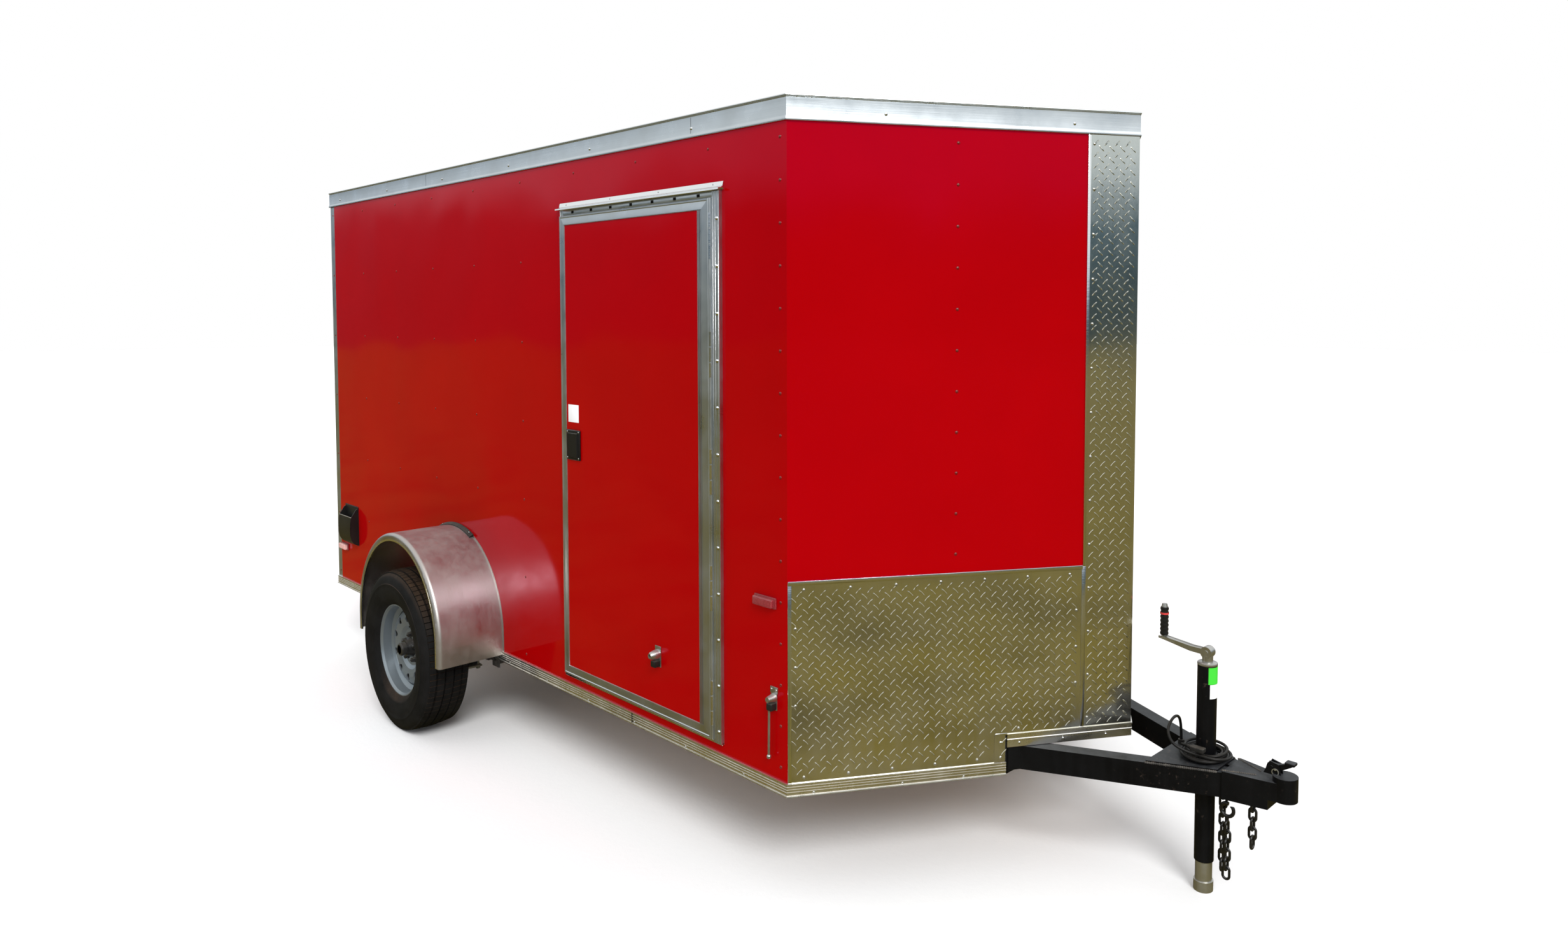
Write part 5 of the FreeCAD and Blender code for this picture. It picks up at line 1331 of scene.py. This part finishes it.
class FinishFenders(Operator):
    """Add the wall flange, the strip at the top, a bright polished band on the lip that is partly the real
    lip and partly a painted highlight, and the screws of the fenders
    """

    bl_idname = "trailer.finish_fenders"
    bl_label = "Finish the fenders"

    def execute(self, context):
        axle_x = halfway("tyre_right")
        radius = 0.417
        centre_z = high("fenders").z - radius
        skirt = low("fenders").z
        out = radius + 0.0060
        wide = -low("fenders").y - HALF
        inner = radius - 0.030
        strip_start, strip_end = 68, 112
        flange_outline = [(0.0, radius - 0.001), (0.0, out), (0.0018, out), (0.0018, radius - 0.001)]
        strip_outline = [(0.0005, radius - 0.001), (0.0005, radius + 0.0110), (0.0060, radius + 0.0110),
                         (0.0180, radius + 0.0030), (0.0185, radius - 0.001)]
        # A bright polished band along the lip's outer edge: partly the real lip, partly a painted highlight.
        lip_highlight_outline = [(wide - 0.0060, inner - 0.003), (wide + 0.0002, inner - 0.003),
                       (wide + 0.0002, inner + 0.005), (wide - 0.0060, inner + 0.005)]
        flange = bmesh.new()
        strip = bmesh.new()
        screws = bmesh.new()
        lip_highlight = bmesh.new()
        for side in (RIGHT, LEFT):
            centre = Vector((axle_x, side * HALF, centre_z))
            along = Vector((0, side, 0))
            self.arch(flange, centre, along, flange_outline, skirt)
            self.arch(strip, centre, along, strip_outline, None, strip_start, strip_end)
            self.arch(lip_highlight, centre, along, lip_highlight_outline, skirt)
            for angle in (math.radians(strip_start + 4), math.radians(strip_end - 4)):
                spot = (axle_x + out * math.cos(angle), 0.0072, centre_z + out * math.sin(angle))
                screw(screws, spot, side_face(side), 0.0052, 0.0030)
        piece("fender_flange", flange, "trailer", "fender_aluminium", crease=30)
        piece("fender_strip", strip, "trailer", "black_rubber", crease=30)
        piece("fender_lip_highlight", lip_highlight, "trailer", "polished_trim", crease=30)
        piece("fender_screws", screws, "trailer", "screw_bright")
        return {"FINISHED"}

    def arch(self, bm, centre, along, outline, bottom, start=0, end=180):
        """An outline of (out, radius) pairs over an arc in degrees, with straight legs down to a bottom."""
        stations = []
        steps = 48
        for index in range(steps + 1):
            angle = math.radians(start + (end - start) * index / steps)
            stations.append((centre, Vector((math.cos(angle), 0, math.sin(angle)))))
        if bottom is not None:
            drop = UP * (centre.z - bottom)
            first, last = stations[0], stations[-1]
            stations = [(first[0] - drop, first[1]), *stations, (last[0] - drop, last[1])]
        turned_outline = [(radius, out) for out, radius in outline]
        sweep(bm, turned_outline, stations, up=along)


class FitLights(Operator):
    """Fit the side markers, the tail lights and the three small rear lamps"""

    bl_idname = "trailer.fit_lights"
    bl_label = "Fit the lights"

    def execute(self, context):
        start, end = ends("marker_lights")
        long_side = 0.100
        front_z, rear_z = end.z - 0.017, start.z + 0.017
        base = bmesh.new()
        red = bmesh.new()
        pink = bmesh.new()
        for side in (RIGHT, LEFT):
            place = side_face(side)
            for bm, x, z in ((red, end.x - long_side, front_z), (pink, start.x, rear_z)):
                cuboid(base, (x, 0.0, z - 0.017), (x + long_side, 0.006, z + 0.017), place, 0.002)
                cuboid(bm, (x + 0.005, 0.004, z - 0.014), (x + long_side - 0.005, 0.0195, z + 0.014),
                       place, 0.005, 4)
        piece("marker_bases", base, "trailer", "lens_red", ["marker_lights"])
        piece("marker_lens_front", red, "trailer", "lens_red")
        piece("marker_lens_rear", pink, "trailer", "lens_pink")
        self.fit_rear()
        return {"FINISHED"}

    def fit_rear(self):
        """The two tail lights and the three lamps between them."""
        start, end = ends("rear_lights")
        place = rear_face()
        bezel = bmesh.new()
        red = bmesh.new()
        clear = bmesh.new()
        reach = REAR - start.x
        width = 0.044
        for side in (RIGHT, LEFT):
            edge = end.y
            y0, y1 = sorted((side * (edge - width), side * edge))
            cuboid(bezel, (y0, 0.0, start.z), (y1, reach * 0.55, start.z + 0.160), place, 0.004, 3)
            cuboid(red, (y0 + 0.004, 0.004, start.z + 0.058), (y1 - 0.004, reach, start.z + 0.155),
                   place, 0.006, 4)
            cuboid(clear, (y0 + 0.004, 0.004, start.z + 0.006), (y1 - 0.004, reach * 0.95, start.z + 0.052),
                   place, 0.006, 4)
        top = end.z
        for y in (-0.150, 0.0, 0.150):
            cuboid(bezel, (y - 0.032, 0.0, top - 0.022), (y + 0.032, 0.005, top), place, 0.002)
            cuboid(red, (y - 0.028, 0.003, top - 0.019), (y + 0.028, 0.014, top - 0.003), place, 0.004, 3)
        piece("tail_bezels", bezel, "trailer", "black_plastic", ["rear_lights"])
        piece("tail_lenses", red, "trailer", "lens_red")
        piece("reverse_lenses", clear, "trailer", "lens_clear")


class FitVents(Operator):
    """Fit the black scoops low at the rear of both sides"""

    bl_idname = "trailer.fit_vents"
    bl_label = "Fit the side vents"

    def execute(self, context):
        start, end = ends("side_vents")
        reach = end.y - HALF
        bottom, tall = start.z, end.z - start.z
        curve = [(0.05, 0.0), (0.55, 0.055), (0.85, 0.16), (0.98, 0.30), (1.0, 0.46), (0.95, 0.62),
                 (0.86, 0.74)]
        outer = [(out * reach, bottom + up * tall) for out, up in curve]
        inner = [(out - 0.0028, up + 0.0010) for out, up in reversed(outer)]
        hood = bmesh.new()
        edge = bmesh.new()
        for side in (RIGHT, LEFT):
            place = side_face(side)
            out = outward(place)
            stations = [(place @ Vector((x, 0, 0)), out) for x in (start.x + 0.008, end.x - 0.004)]
            sweep(hood, outer + inner, stations)
            cuboid(hood, (start.x, 0.0, bottom), (end.x, 0.0035, end.z), place, 0.003, 3)
            cheek = outer + [(0.30 * reach, bottom + 0.93 * tall), (0.002, bottom + tall * 0.96),
                             (0.002, bottom)]
            turn = place @ Matrix.Rotation(math.pi / 2, 4, "Z")
            for x in (start.x + 0.006, end.x - 0.007):
                prism(hood, cheek, -x - 0.0035, -x, turn)
            tip_out, tip_up = outer[-1]
            cuboid(edge, (start.x + 0.008, tip_out - 0.0036, tip_up - 0.001),
                   (end.x - 0.004, tip_out + 0.0006, tip_up + 0.0022), place, 0.0008)
        piece("vent_scoops", hood, "trailer", "black_plastic", ["side_vents"], crease=30)
        piece("vent_edges", edge, "trailer", "zinc")
        return {"FINISHED"}


# ---------------------------------------------------------------- rear

# Height of the lock bars' handles over the ground.
HANDLE_LEVEL = 1.167


class FitRear(Operator):
    """Fit the ramp door's trims and boards, its lock bars and its hinge"""

    bl_idname = "trailer.fit_rear"
    bl_label = "Fit the rear"

    def execute(self, context):
        place = rear_face()
        start, end = ends("ramp_door_panel")
        out = outward(place)
        bm = bmesh.new()
        outline = [(0.0, -0.004), (0.0, 0.0015), (-0.004, 0.0032), (-0.030, 0.0032), (-0.034, 0.0),
                   (-0.034, -0.004)]
        sweep(bm, outline, ring_stations(place, (start.y, start.z), (end.y, end.z)), up=out, closed=True)
        piece("ramp_edge_trim", bm, "ramp_door", "trim_aluminium", crease=30)
        bm = bmesh.new()
        boards = 3
        wide = (end.y - start.y - 0.02) / boards
        face = REAR - end.x
        for index in range(boards):
            y = start.y + 0.01 + index * wide
            cuboid(bm, (y + 0.001, face - 0.0030, start.z + 0.012),
                   (y + wide - 0.001, face + 0.0005, end.z - 0.012), place, 0.0006, 1)
        piece("ramp_boards", bm, "ramp_door", "plywood")
        bm = bmesh.new()
        for index in range(9):
            z = start.z + 0.12 + index * 0.19
            cuboid(bm, (start.y + 0.06, face - 0.0100, z), (end.y - 0.06, face - 0.0025, z + 0.022),
                   place, 0.002)
        piece("ramp_cleats", bm, "ramp_door", "trim_aluminium")
        self.fit_bars(place)
        self.fit_hinge()
        return {"FINISHED"}

    def fit_bars(self, place):
        """Lock bars with their guides, cams and folding handles."""
        start, end = ends("ramp_lock_bars")
        reach = REAR - start.x
        bars = bmesh.new()
        guides = bmesh.new()
        handles = bmesh.new()
        radius = 0.013
        out = reach - radius - 0.006
        span = end.z - start.z
        y = end.y - 0.032
        level = HANDLE_LEVEL
        for side in (RIGHT, LEFT):
            bar(bars, (side * y, out, start.z), (side * y, out, end.z), radius, segments=24, place=place)
            for share in (0.04, 0.36, 0.64, 0.96):
                z = start.z + share * span
                cuboid(guides, (side * y - 0.032, 0.0, z - 0.022), (side * y + 0.032, 0.005, z + 0.022),
                       place, 0.0015)
                cuboid(guides, (side * y - 0.017, 0.004, z - 0.014),
                       (side * y + 0.017, reach - 0.002, z + 0.014), place, 0.005, 3)
                for shift in (-0.025, 0.025):
                    screw(guides, (side * y + shift, 0.005, z), place, 0.0055, 0.0036)
            for z in (start.z + 0.010, end.z - 0.034):
                cuboid(guides, (side * y - 0.024, out - 0.010, z), (side * y + 0.012, out + 0.010, z + 0.024),
                       place, 0.004, 3)
            inner = side * (y - 0.23)
            first, last = sorted((inner, side * (y + 0.016)))
            cuboid(handles, (first, reach - 0.009, level - 0.015), (last, reach, level + 0.015),
                   place, 0.003, 3)
            cuboid(handles, (side * y - 0.020, out - 0.014, level - 0.024),
                   (side * y + 0.020, reach - 0.001, level + 0.024), place, 0.004, 3)
            keeper = side * (y - 0.18)
            cuboid(handles, (keeper - 0.020, 0.0, level - 0.030), (keeper + 0.020, 0.004, level + 0.030),
                   place, 0.002)
            cuboid(handles, (keeper - 0.012, 0.003, level - 0.024),
                   (keeper + 0.012, reach - 0.008, level - 0.012), place, 0.003)
        piece("lock_bar_rods", bars, "ramp_door", "zinc", ["ramp_lock_bars"])
        piece("lock_bar_guides", guides, "ramp_door", "zinc")
        piece("lock_bar_handles", handles, "ramp_door", "crank_steel")

    def fit_hinge(self):
        """The knuckles of the ramp's long hinge."""
        start, end = ends("ramp_hinge")
        radius = 0.0078
        centre = Vector((start.x + 0.006, 0, end.z - 0.006))
        bm = bmesh.new()
        count = 22
        for index in range(count):
            y = start.y + 0.005 + (end.y - start.y - 0.01) * index / count
            bar(bm, centre + Vector((0, y, 0)), centre + Vector((0, y + 0.034, 0)), radius, segments=18)
        piece("ramp_knuckles", bm, "trailer", "under_steel")


# ---------------------------------------------------------------- wheels and running gear

class BuildTyres(Operator):
    """Build the treaded tyres, the wheel nuts, the grease caps and the valves"""

    bl_idname = "trailer.build_tyres"
    bl_label = "Build the tyres"

    def execute(self, context):
        sizes = context.scene.trailer_wheels
        for side, word in ((RIGHT, "right"), (LEFT, "left")):
            start, end = ends(f"tyre_{word}")
            centre = (start + end) / 2
            along = Vector((0, side, 0))
            self.build_tyre(sizes, word, centre, along, (end.z - start.z) / 2)
            self.build_hub(sizes, word, centre, along)
        return {"FINISHED"}

    def build_tyre(self, sizes, word, centre, along, radius):
        """One tyre, its blocks raised from the groove's floor."""
        floor = radius - sizes.groove
        half_side = [(0.062, 0.1925), (0.0700, 0.1935), (0.0770, 0.2010), (0.0850, 0.2140), (0.0905, 0.2210),
                     (0.0912, 0.2240), (0.0955, 0.2370), (0.0995, 0.2540), (0.1010, 0.2680), (0.1004, 0.2830),
                     (0.1012, 0.2850), (0.1006, 0.2885), (0.0990, 0.2900), (0.0955, 0.3050), (0.0905, 0.3180),
                     (0.0870, 0.3245), (0.0800, floor - 0.0060)]
        ribs = [0.0540, 0.0500, 0.0200, 0.0160]
        across = half_side + [(spot, floor - 0.0060 * (spot / 0.08) ** 2) for spot in ribs]
        outline = across + [(-out, spot) for out, spot in reversed(across)]
        bm = bmesh.new()
        turned(bm, outline, centre, sizes.blocks, along)
        bm.normal_update()
        bmesh.ops.recalc_face_normals(bm, faces=bm.faces)
        bands = ((0.051, 0.079, 0.0020), (0.0205, 0.0495, 0.0017), (-0.0155, 0.0155, 0.0014))
        for first, last, gap in bands:
            chosen = []
            for face in bm.faces:
                middle = face.calc_center_median() - centre
                out = middle.dot(along)
                far = (middle - along * out).length
                inside = first < (out if first < 0 else abs(out)) < last
                if inside and far > floor - 0.012:
                    chosen.append(face)
            bmesh.ops.inset_individual(bm, faces=chosen, thickness=gap, depth=sizes.groove * 0.995,
                                       use_even_offset=False)
        piece(f"tyre_tread_{word}", bm, f"{word}_wheel", "tyre_rubber", [f"tyre_{word}"], crease=32)

    def build_hub(self, sizes, word, centre, along):
        """One wheel's nuts, grease cap and valve."""
        nuts = bmesh.new()
        seat = 0.0155
        for index in range(sizes.nut_count):
            angle = math.tau * index / sizes.nut_count + 0.3
            spoke = Vector((math.cos(angle), 0, math.sin(angle))) * sizes.nut_circle
            spot = centre + spoke
            bar(nuts, spot + along * seat, spot + along * (seat + 0.004), 0.0125, 0.0120, 24)
            bar(nuts, spot + along * (seat + 0.003), spot + along * (seat + 0.017), 0.0108, 0.0104, 6)
            bar(nuts, spot + along * (seat + 0.017), spot + along * (seat + 0.021), 0.0080, 0.0030, 12)
        piece(f"wheel_nuts_{word}", nuts, f"{word}_wheel", "hub_black", crease=25)
        cap = bmesh.new()
        outline = [(0.040, 0.0), (0.040, 0.0345), (0.0445, 0.0345), (0.0450, 0.0290), (0.0620, 0.0282),
                   (0.0665, 0.0250), (0.0680, 0.0190), (0.0680, 0.0)]
        turned(cap, outline, centre, 40, along)
        piece(f"grease_cap_{word}", cap, f"{word}_wheel", "hub_black", crease=30)
        valve = bmesh.new()
        angle = 0.9
        spoke = Vector((math.cos(angle), 0, math.sin(angle)))
        spot = centre + spoke * 0.160 + along * 0.030
        lean = (along * 0.8 - spoke * 0.2).normalized()
        bar(valve, spot - lean * 0.006, spot + lean * 0.012, 0.0060, 0.0048, 16)
        bar(valve, spot + lean * 0.012, spot + lean * 0.034, 0.0036, 0.0040, 16)
        piece(f"valve_{word}", valve, f"{word}_wheel", "black_rubber")


class TieSprings(Operator):
    """Tie the axle to its springs with U-bolts and plates"""

    bl_idname = "trailer.tie_springs"
    bl_label = "Tie the springs"

    def execute(self, context):
        spring_y = high("leaf_springs").y - 0.022
        axle_x = halfway("axle")
        beam_low = low("axle").z
        seat = beam_low + 0.060
        bm = bmesh.new()
        for side in (RIGHT, LEFT):
            y = side * spring_y
            cuboid(bm, (axle_x - 0.055, y - 0.040, beam_low - 0.010),
                   (axle_x + 0.055, y + 0.040, beam_low - 0.002), bevel=0.001)
            for shift in (-0.038, 0.038):
                for lane in (-0.029, 0.029):
                    spot = Vector((axle_x + shift, y + lane, 0))
                    bar(bm, spot + UP * (beam_low - 0.022), spot + UP * (seat + 0.028), 0.0055, segments=14)
                    bar(bm, spot + UP * (beam_low - 0.020), spot + UP * (beam_low - 0.010),
                        0.0105, segments=6)
                span = Vector((axle_x + shift, y, seat + 0.028))
                bar(bm, span - Vector((0, 0.029, 0)), span + Vector((0, 0.029, 0)), 0.0055, segments=14)
        piece("spring_u_bolts", bm, "trailer", "zinc")
        return {"FINISHED"}


# ---------------------------------------------------------------- tongue

# Start of the random draws that make the weld beads uneven.
WELD_SEED = 3


class DressJack(Operator):
    """Dress the jack: top ring, crank arm, grip, bolts and blank labels"""

    bl_idname = "trailer.dress_jack"
    bl_label = "Dress the jack"

    def execute(self, context):
        x = halfway("jack_tube")
        radius = 0.030
        top = high("jack_tube").z
        bm = bmesh.new()
        outline = [(-0.006, radius - 0.001), (-0.006, radius + 0.0008), (-0.001, radius + 0.0008),
                   (0.0016, radius - 0.003), (0.0016, 0.010), (-0.004, 0.010)]
        turned(bm, outline, Vector((x, 0, top)), 48, along=UP)
        piece("jack_top_ring", bm, "trailer", "crank_steel")
        bm = bmesh.new()
        flange = high("tongue_plate").z + 0.008
        for index in range(3):
            angle = math.tau * index / 3 + 0.4
            spot = Vector((x + 0.043 * math.cos(angle), 0.043 * math.sin(angle), flange))
            bar(bm, spot, spot + UP * 0.0015, 0.0095, segments=24)
            bar(bm, spot + UP * 0.0015, spot + UP * 0.0070, 0.0080, 0.0077, 6)
        piece("jack_bolts", bm, "trailer", "zinc")
        for name, finish, bottom, tall, first in (("jack_label_green", "label_green", 0.659, 0.052, -58),
                                                  ("jack_label_white", "label_white", 0.614, 0.044, -48)):
            self.wrap_label(name, finish, x, radius, bottom, tall, math.radians(first))
        self.build_crank(x)
        return {"FINISHED"}

    def wrap_label(self, name, finish, x, radius, bottom, tall, first):
        """A thin blank label bent round the tube."""
        bm = bmesh.new()
        steps = 12
        last = math.radians(30)
        stations = []
        for index in range(steps + 1):
            angle = first + (last - first) * index / steps
            stations.append((Vector((x, 0, bottom)), Vector((math.cos(angle), math.sin(angle), 0))))
        outline = [(radius - 0.0004, 0.0), (radius + 0.0006, 0.0), (radius + 0.0006, tall),
                   (radius - 0.0004, tall)]
        sweep(bm, outline, stations)
        piece(name, bm, "trailer", finish)

    def build_crank(self, x):
        """The crank's hub, forked arm, ribbed grip and tie band."""
        start, end = ends("jack_crank")
        pivot = Vector((x, 0, start.z + 0.030))
        grip_x = start.x + 0.014
        grip_low = end.z - 0.102
        bm = bmesh.new()
        bar(bm, (x, 0, start.z), (x, 0, start.z + 0.020), 0.0165, segments=32)
        bar(bm, pivot + Vector((0, -0.0150, 0)), pivot + Vector((0, 0.0150, 0)), 0.0185, segments=36)
        bar(bm, pivot + Vector((0, -0.0175, 0)), pivot + Vector((0, 0.0175, 0)), 0.0075, segments=20)
        arm = [(x + 0.010, pivot.z + 0.009), (x - 0.050, pivot.z + 0.010), (grip_x + 0.008, grip_low - 0.002),
               (grip_x - 0.014, grip_low - 0.002), (grip_x - 0.014, grip_low - 0.009),
               (grip_x + 0.006, grip_low - 0.012), (x - 0.055, pivot.z - 0.006), (x + 0.010, pivot.z - 0.009)]
        prism(bm, arm, -0.0115, -0.0085)
        prism(bm, arm, 0.0085, 0.0115)
        spine = [(x + 0.004, pivot.z + 0.006), (x - 0.050, pivot.z + 0.007),
                 (grip_x + 0.006, grip_low - 0.003), (grip_x + 0.006, grip_low - 0.006),
                 (x - 0.050, pivot.z + 0.004), (x + 0.004, pivot.z + 0.003)]
        prism(bm, spine, -0.0090, 0.0090)
        bar(bm, (grip_x, 0, grip_low - 0.012), (grip_x, 0, end.z - 0.006), 0.0052, segments=18)
        piece("crank_arm_steel", bm, "jack_crank", "crank_steel", ["jack_crank"])
        bm = bmesh.new()
        ribs = 7
        outline = [(0.0, 0.0055)]
        tall = end.z - 0.010 - grip_low
        for index in range(ribs):
            spot = tall * (index + 0.5) / ribs
            outline += [(spot - tall * 0.42 / ribs, 0.0118), (spot, 0.0136),
                        (spot + tall * 0.42 / ribs, 0.0118)]
        outline += [(tall, 0.0055)]
        turned(bm, outline, Vector((grip_x, 0, grip_low)), 28, along=UP)
        piece("crank_grip_body", bm, "jack_crank", "black_plastic")
        bm = bmesh.new()
        bar(bm, (grip_x, 0, end.z - 0.0105), (grip_x, 0, end.z - 0.0005), 0.0100, 0.0082, 24)
        piece("crank_grip_tip", bm, "jack_crank", "crank_steel")
        bm = bmesh.new()
        turned(bm, [(0.0, 0.0120), (0.0, 0.0139), (0.006, 0.0139), (0.006, 0.0120)],
               Vector((grip_x, 0, end.z - 0.034)), 24, along=UP)
        piece("crank_tie_band", bm, "jack_crank", "tie_red")


class DressCoupler(Operator):
    """Dress the coupler: latch lever, its pin and the welds on the tongue"""

    bl_idname = "trailer.dress_coupler"
    bl_label = "Dress the coupler"

    def execute(self, context):
        start, end = ends("coupler_latch")
        shell = ends("coupler")
        top = shell[1].z
        middle = (start.x + end.x) / 2
        bm = bmesh.new()
        for side in (-1, 1):
            cheek = [(start.x, top - 0.004), (start.x + 0.052, top - 0.004), (start.x + 0.046, end.z - 0.018),
                     (start.x + 0.018, end.z - 0.012)]
            first, last = sorted((side * 0.0070, side * 0.0105))
            prism(bm, cheek, first, last)
        lever = [(start.x + 0.004, top + 0.006), (start.x + 0.030, top + 0.004),
                 (middle + 0.010, top + 0.016), (end.x - 0.002, end.z - 0.011),
                 (end.x - 0.002, end.z - 0.003), (middle, top + 0.030), (start.x + 0.010, top + 0.026)]
        prism(bm, lever, -0.0065, 0.0065)
        cuboid(bm, (end.x - 0.030, -0.013, end.z - 0.012), (end.x, 0.013, end.z - 0.003),
               bevel=0.003, segments=3)
        bar(bm, (start.x + 0.024, -0.013, top + 0.018), (start.x + 0.024, 0.013, top + 0.018), 0.0048,
            segments=16)
        piece("coupler_lever", bm, "trailer", "black_steel", ["coupler_latch"])
        bm = bmesh.new()
        pin = Vector((start.x + 0.036, 0, top + 0.014))
        bar(bm, pin - Vector((0, 0.014, 0)), pin + Vector((0, 0.014, 0)), 0.0028, segments=12)
        turned(bm, [(-0.0012, 0.0085), (0.0012, 0.0085), (0.0012, 0.0110), (-0.0012, 0.0110)],
               pin + Vector((0, -0.012, -0.008)), 24)
        piece("coupler_pin", bm, "trailer", "zinc")
        self.weld_tongue(shell)
        return {"FINISHED"}

    def weld_tongue(self, shell):
        """Weld beads where the coupler and the plate meet the beams."""
        bm = bmesh.new()
        draw = random.Random(WELD_SEED)
        apex = high("tongue_beams").x
        beam_angle = 25
        slope = math.tan(math.radians(beam_angle))
        plate_low, plate_high = ends("tongue_plate")
        for side in (-1, 1):
            for start, end, level in ((plate_low.x, plate_high.x, plate_low.z),
                                      (shell[0].x, shell[0].x + 0.085, shell[1].z - 0.018)):
                x = start
                while x < end:
                    y = side * ((apex + 0.003 - x) * slope - 0.002)
                    size = draw.uniform(0.0030, 0.0042)
                    bmesh.ops.create_uvsphere(bm, u_segments=7, v_segments=5, radius=1,
                                              matrix=flat((x, y, level), (0.0046, size, size)))
                    x += 0.0055
        piece("tongue_welds", bm, "trailer", "under_steel")


# ---------------------------------------------------------------- panel and registration

STEPS = (MixFinishes, SetStage, LayCord, DressFrame, FitRoofTrim, FitBottomTrim, ScrewSkins, LineInside,
         RollTreadPlate, TrimSideDoor, FinishFenders, FitLights, FitVents, FitRear, BuildTyres, TieSprings,
         DressJack, DressCoupler)


class TRAILER_PT_looks(Panel):
    """Lists the trailer's sizes and its building steps"""

    bl_label = "Cargo trailer"
    bl_idname = "TRAILER_PT_looks"
    bl_space_type = "VIEW_3D"
    bl_region_type = "UI"
    bl_category = "Trailer"

    def draw(self, context):
        layout = self.layout
        for step in STEPS:
            layout.operator(step.bl_idname)
        for name, kind in SETTINGS.items():
            box = layout.box()
            box.label(text=kind.__doc__)
            for field in kind.__annotations__:
                box.prop(getattr(context.scene, name), field)


def register():
    for kind in (*SETTINGS.values(), *STEPS, TRAILER_PT_looks):
        bpy.utils.register_class(kind)
    for name, kind in SETTINGS.items():
        setattr(bpy.types.Scene, name, PointerProperty(type=kind))


def unregister():
    for name in SETTINGS:
        delattr(bpy.types.Scene, name)
    for kind in reversed((*SETTINGS.values(), *STEPS, TRAILER_PT_looks)):
        bpy.utils.unregister_class(kind)


def main():
    """Registers the add-on and runs its steps in order."""
    register()
    for step in STEPS:
        family, name = step.bl_idname.split(".")
        if getattr(getattr(bpy.ops, family), name)() != {"FINISHED"}:
            raise RuntimeError(f"{step.bl_label} didn't finish")


if __name__ == "__main__":
    main()
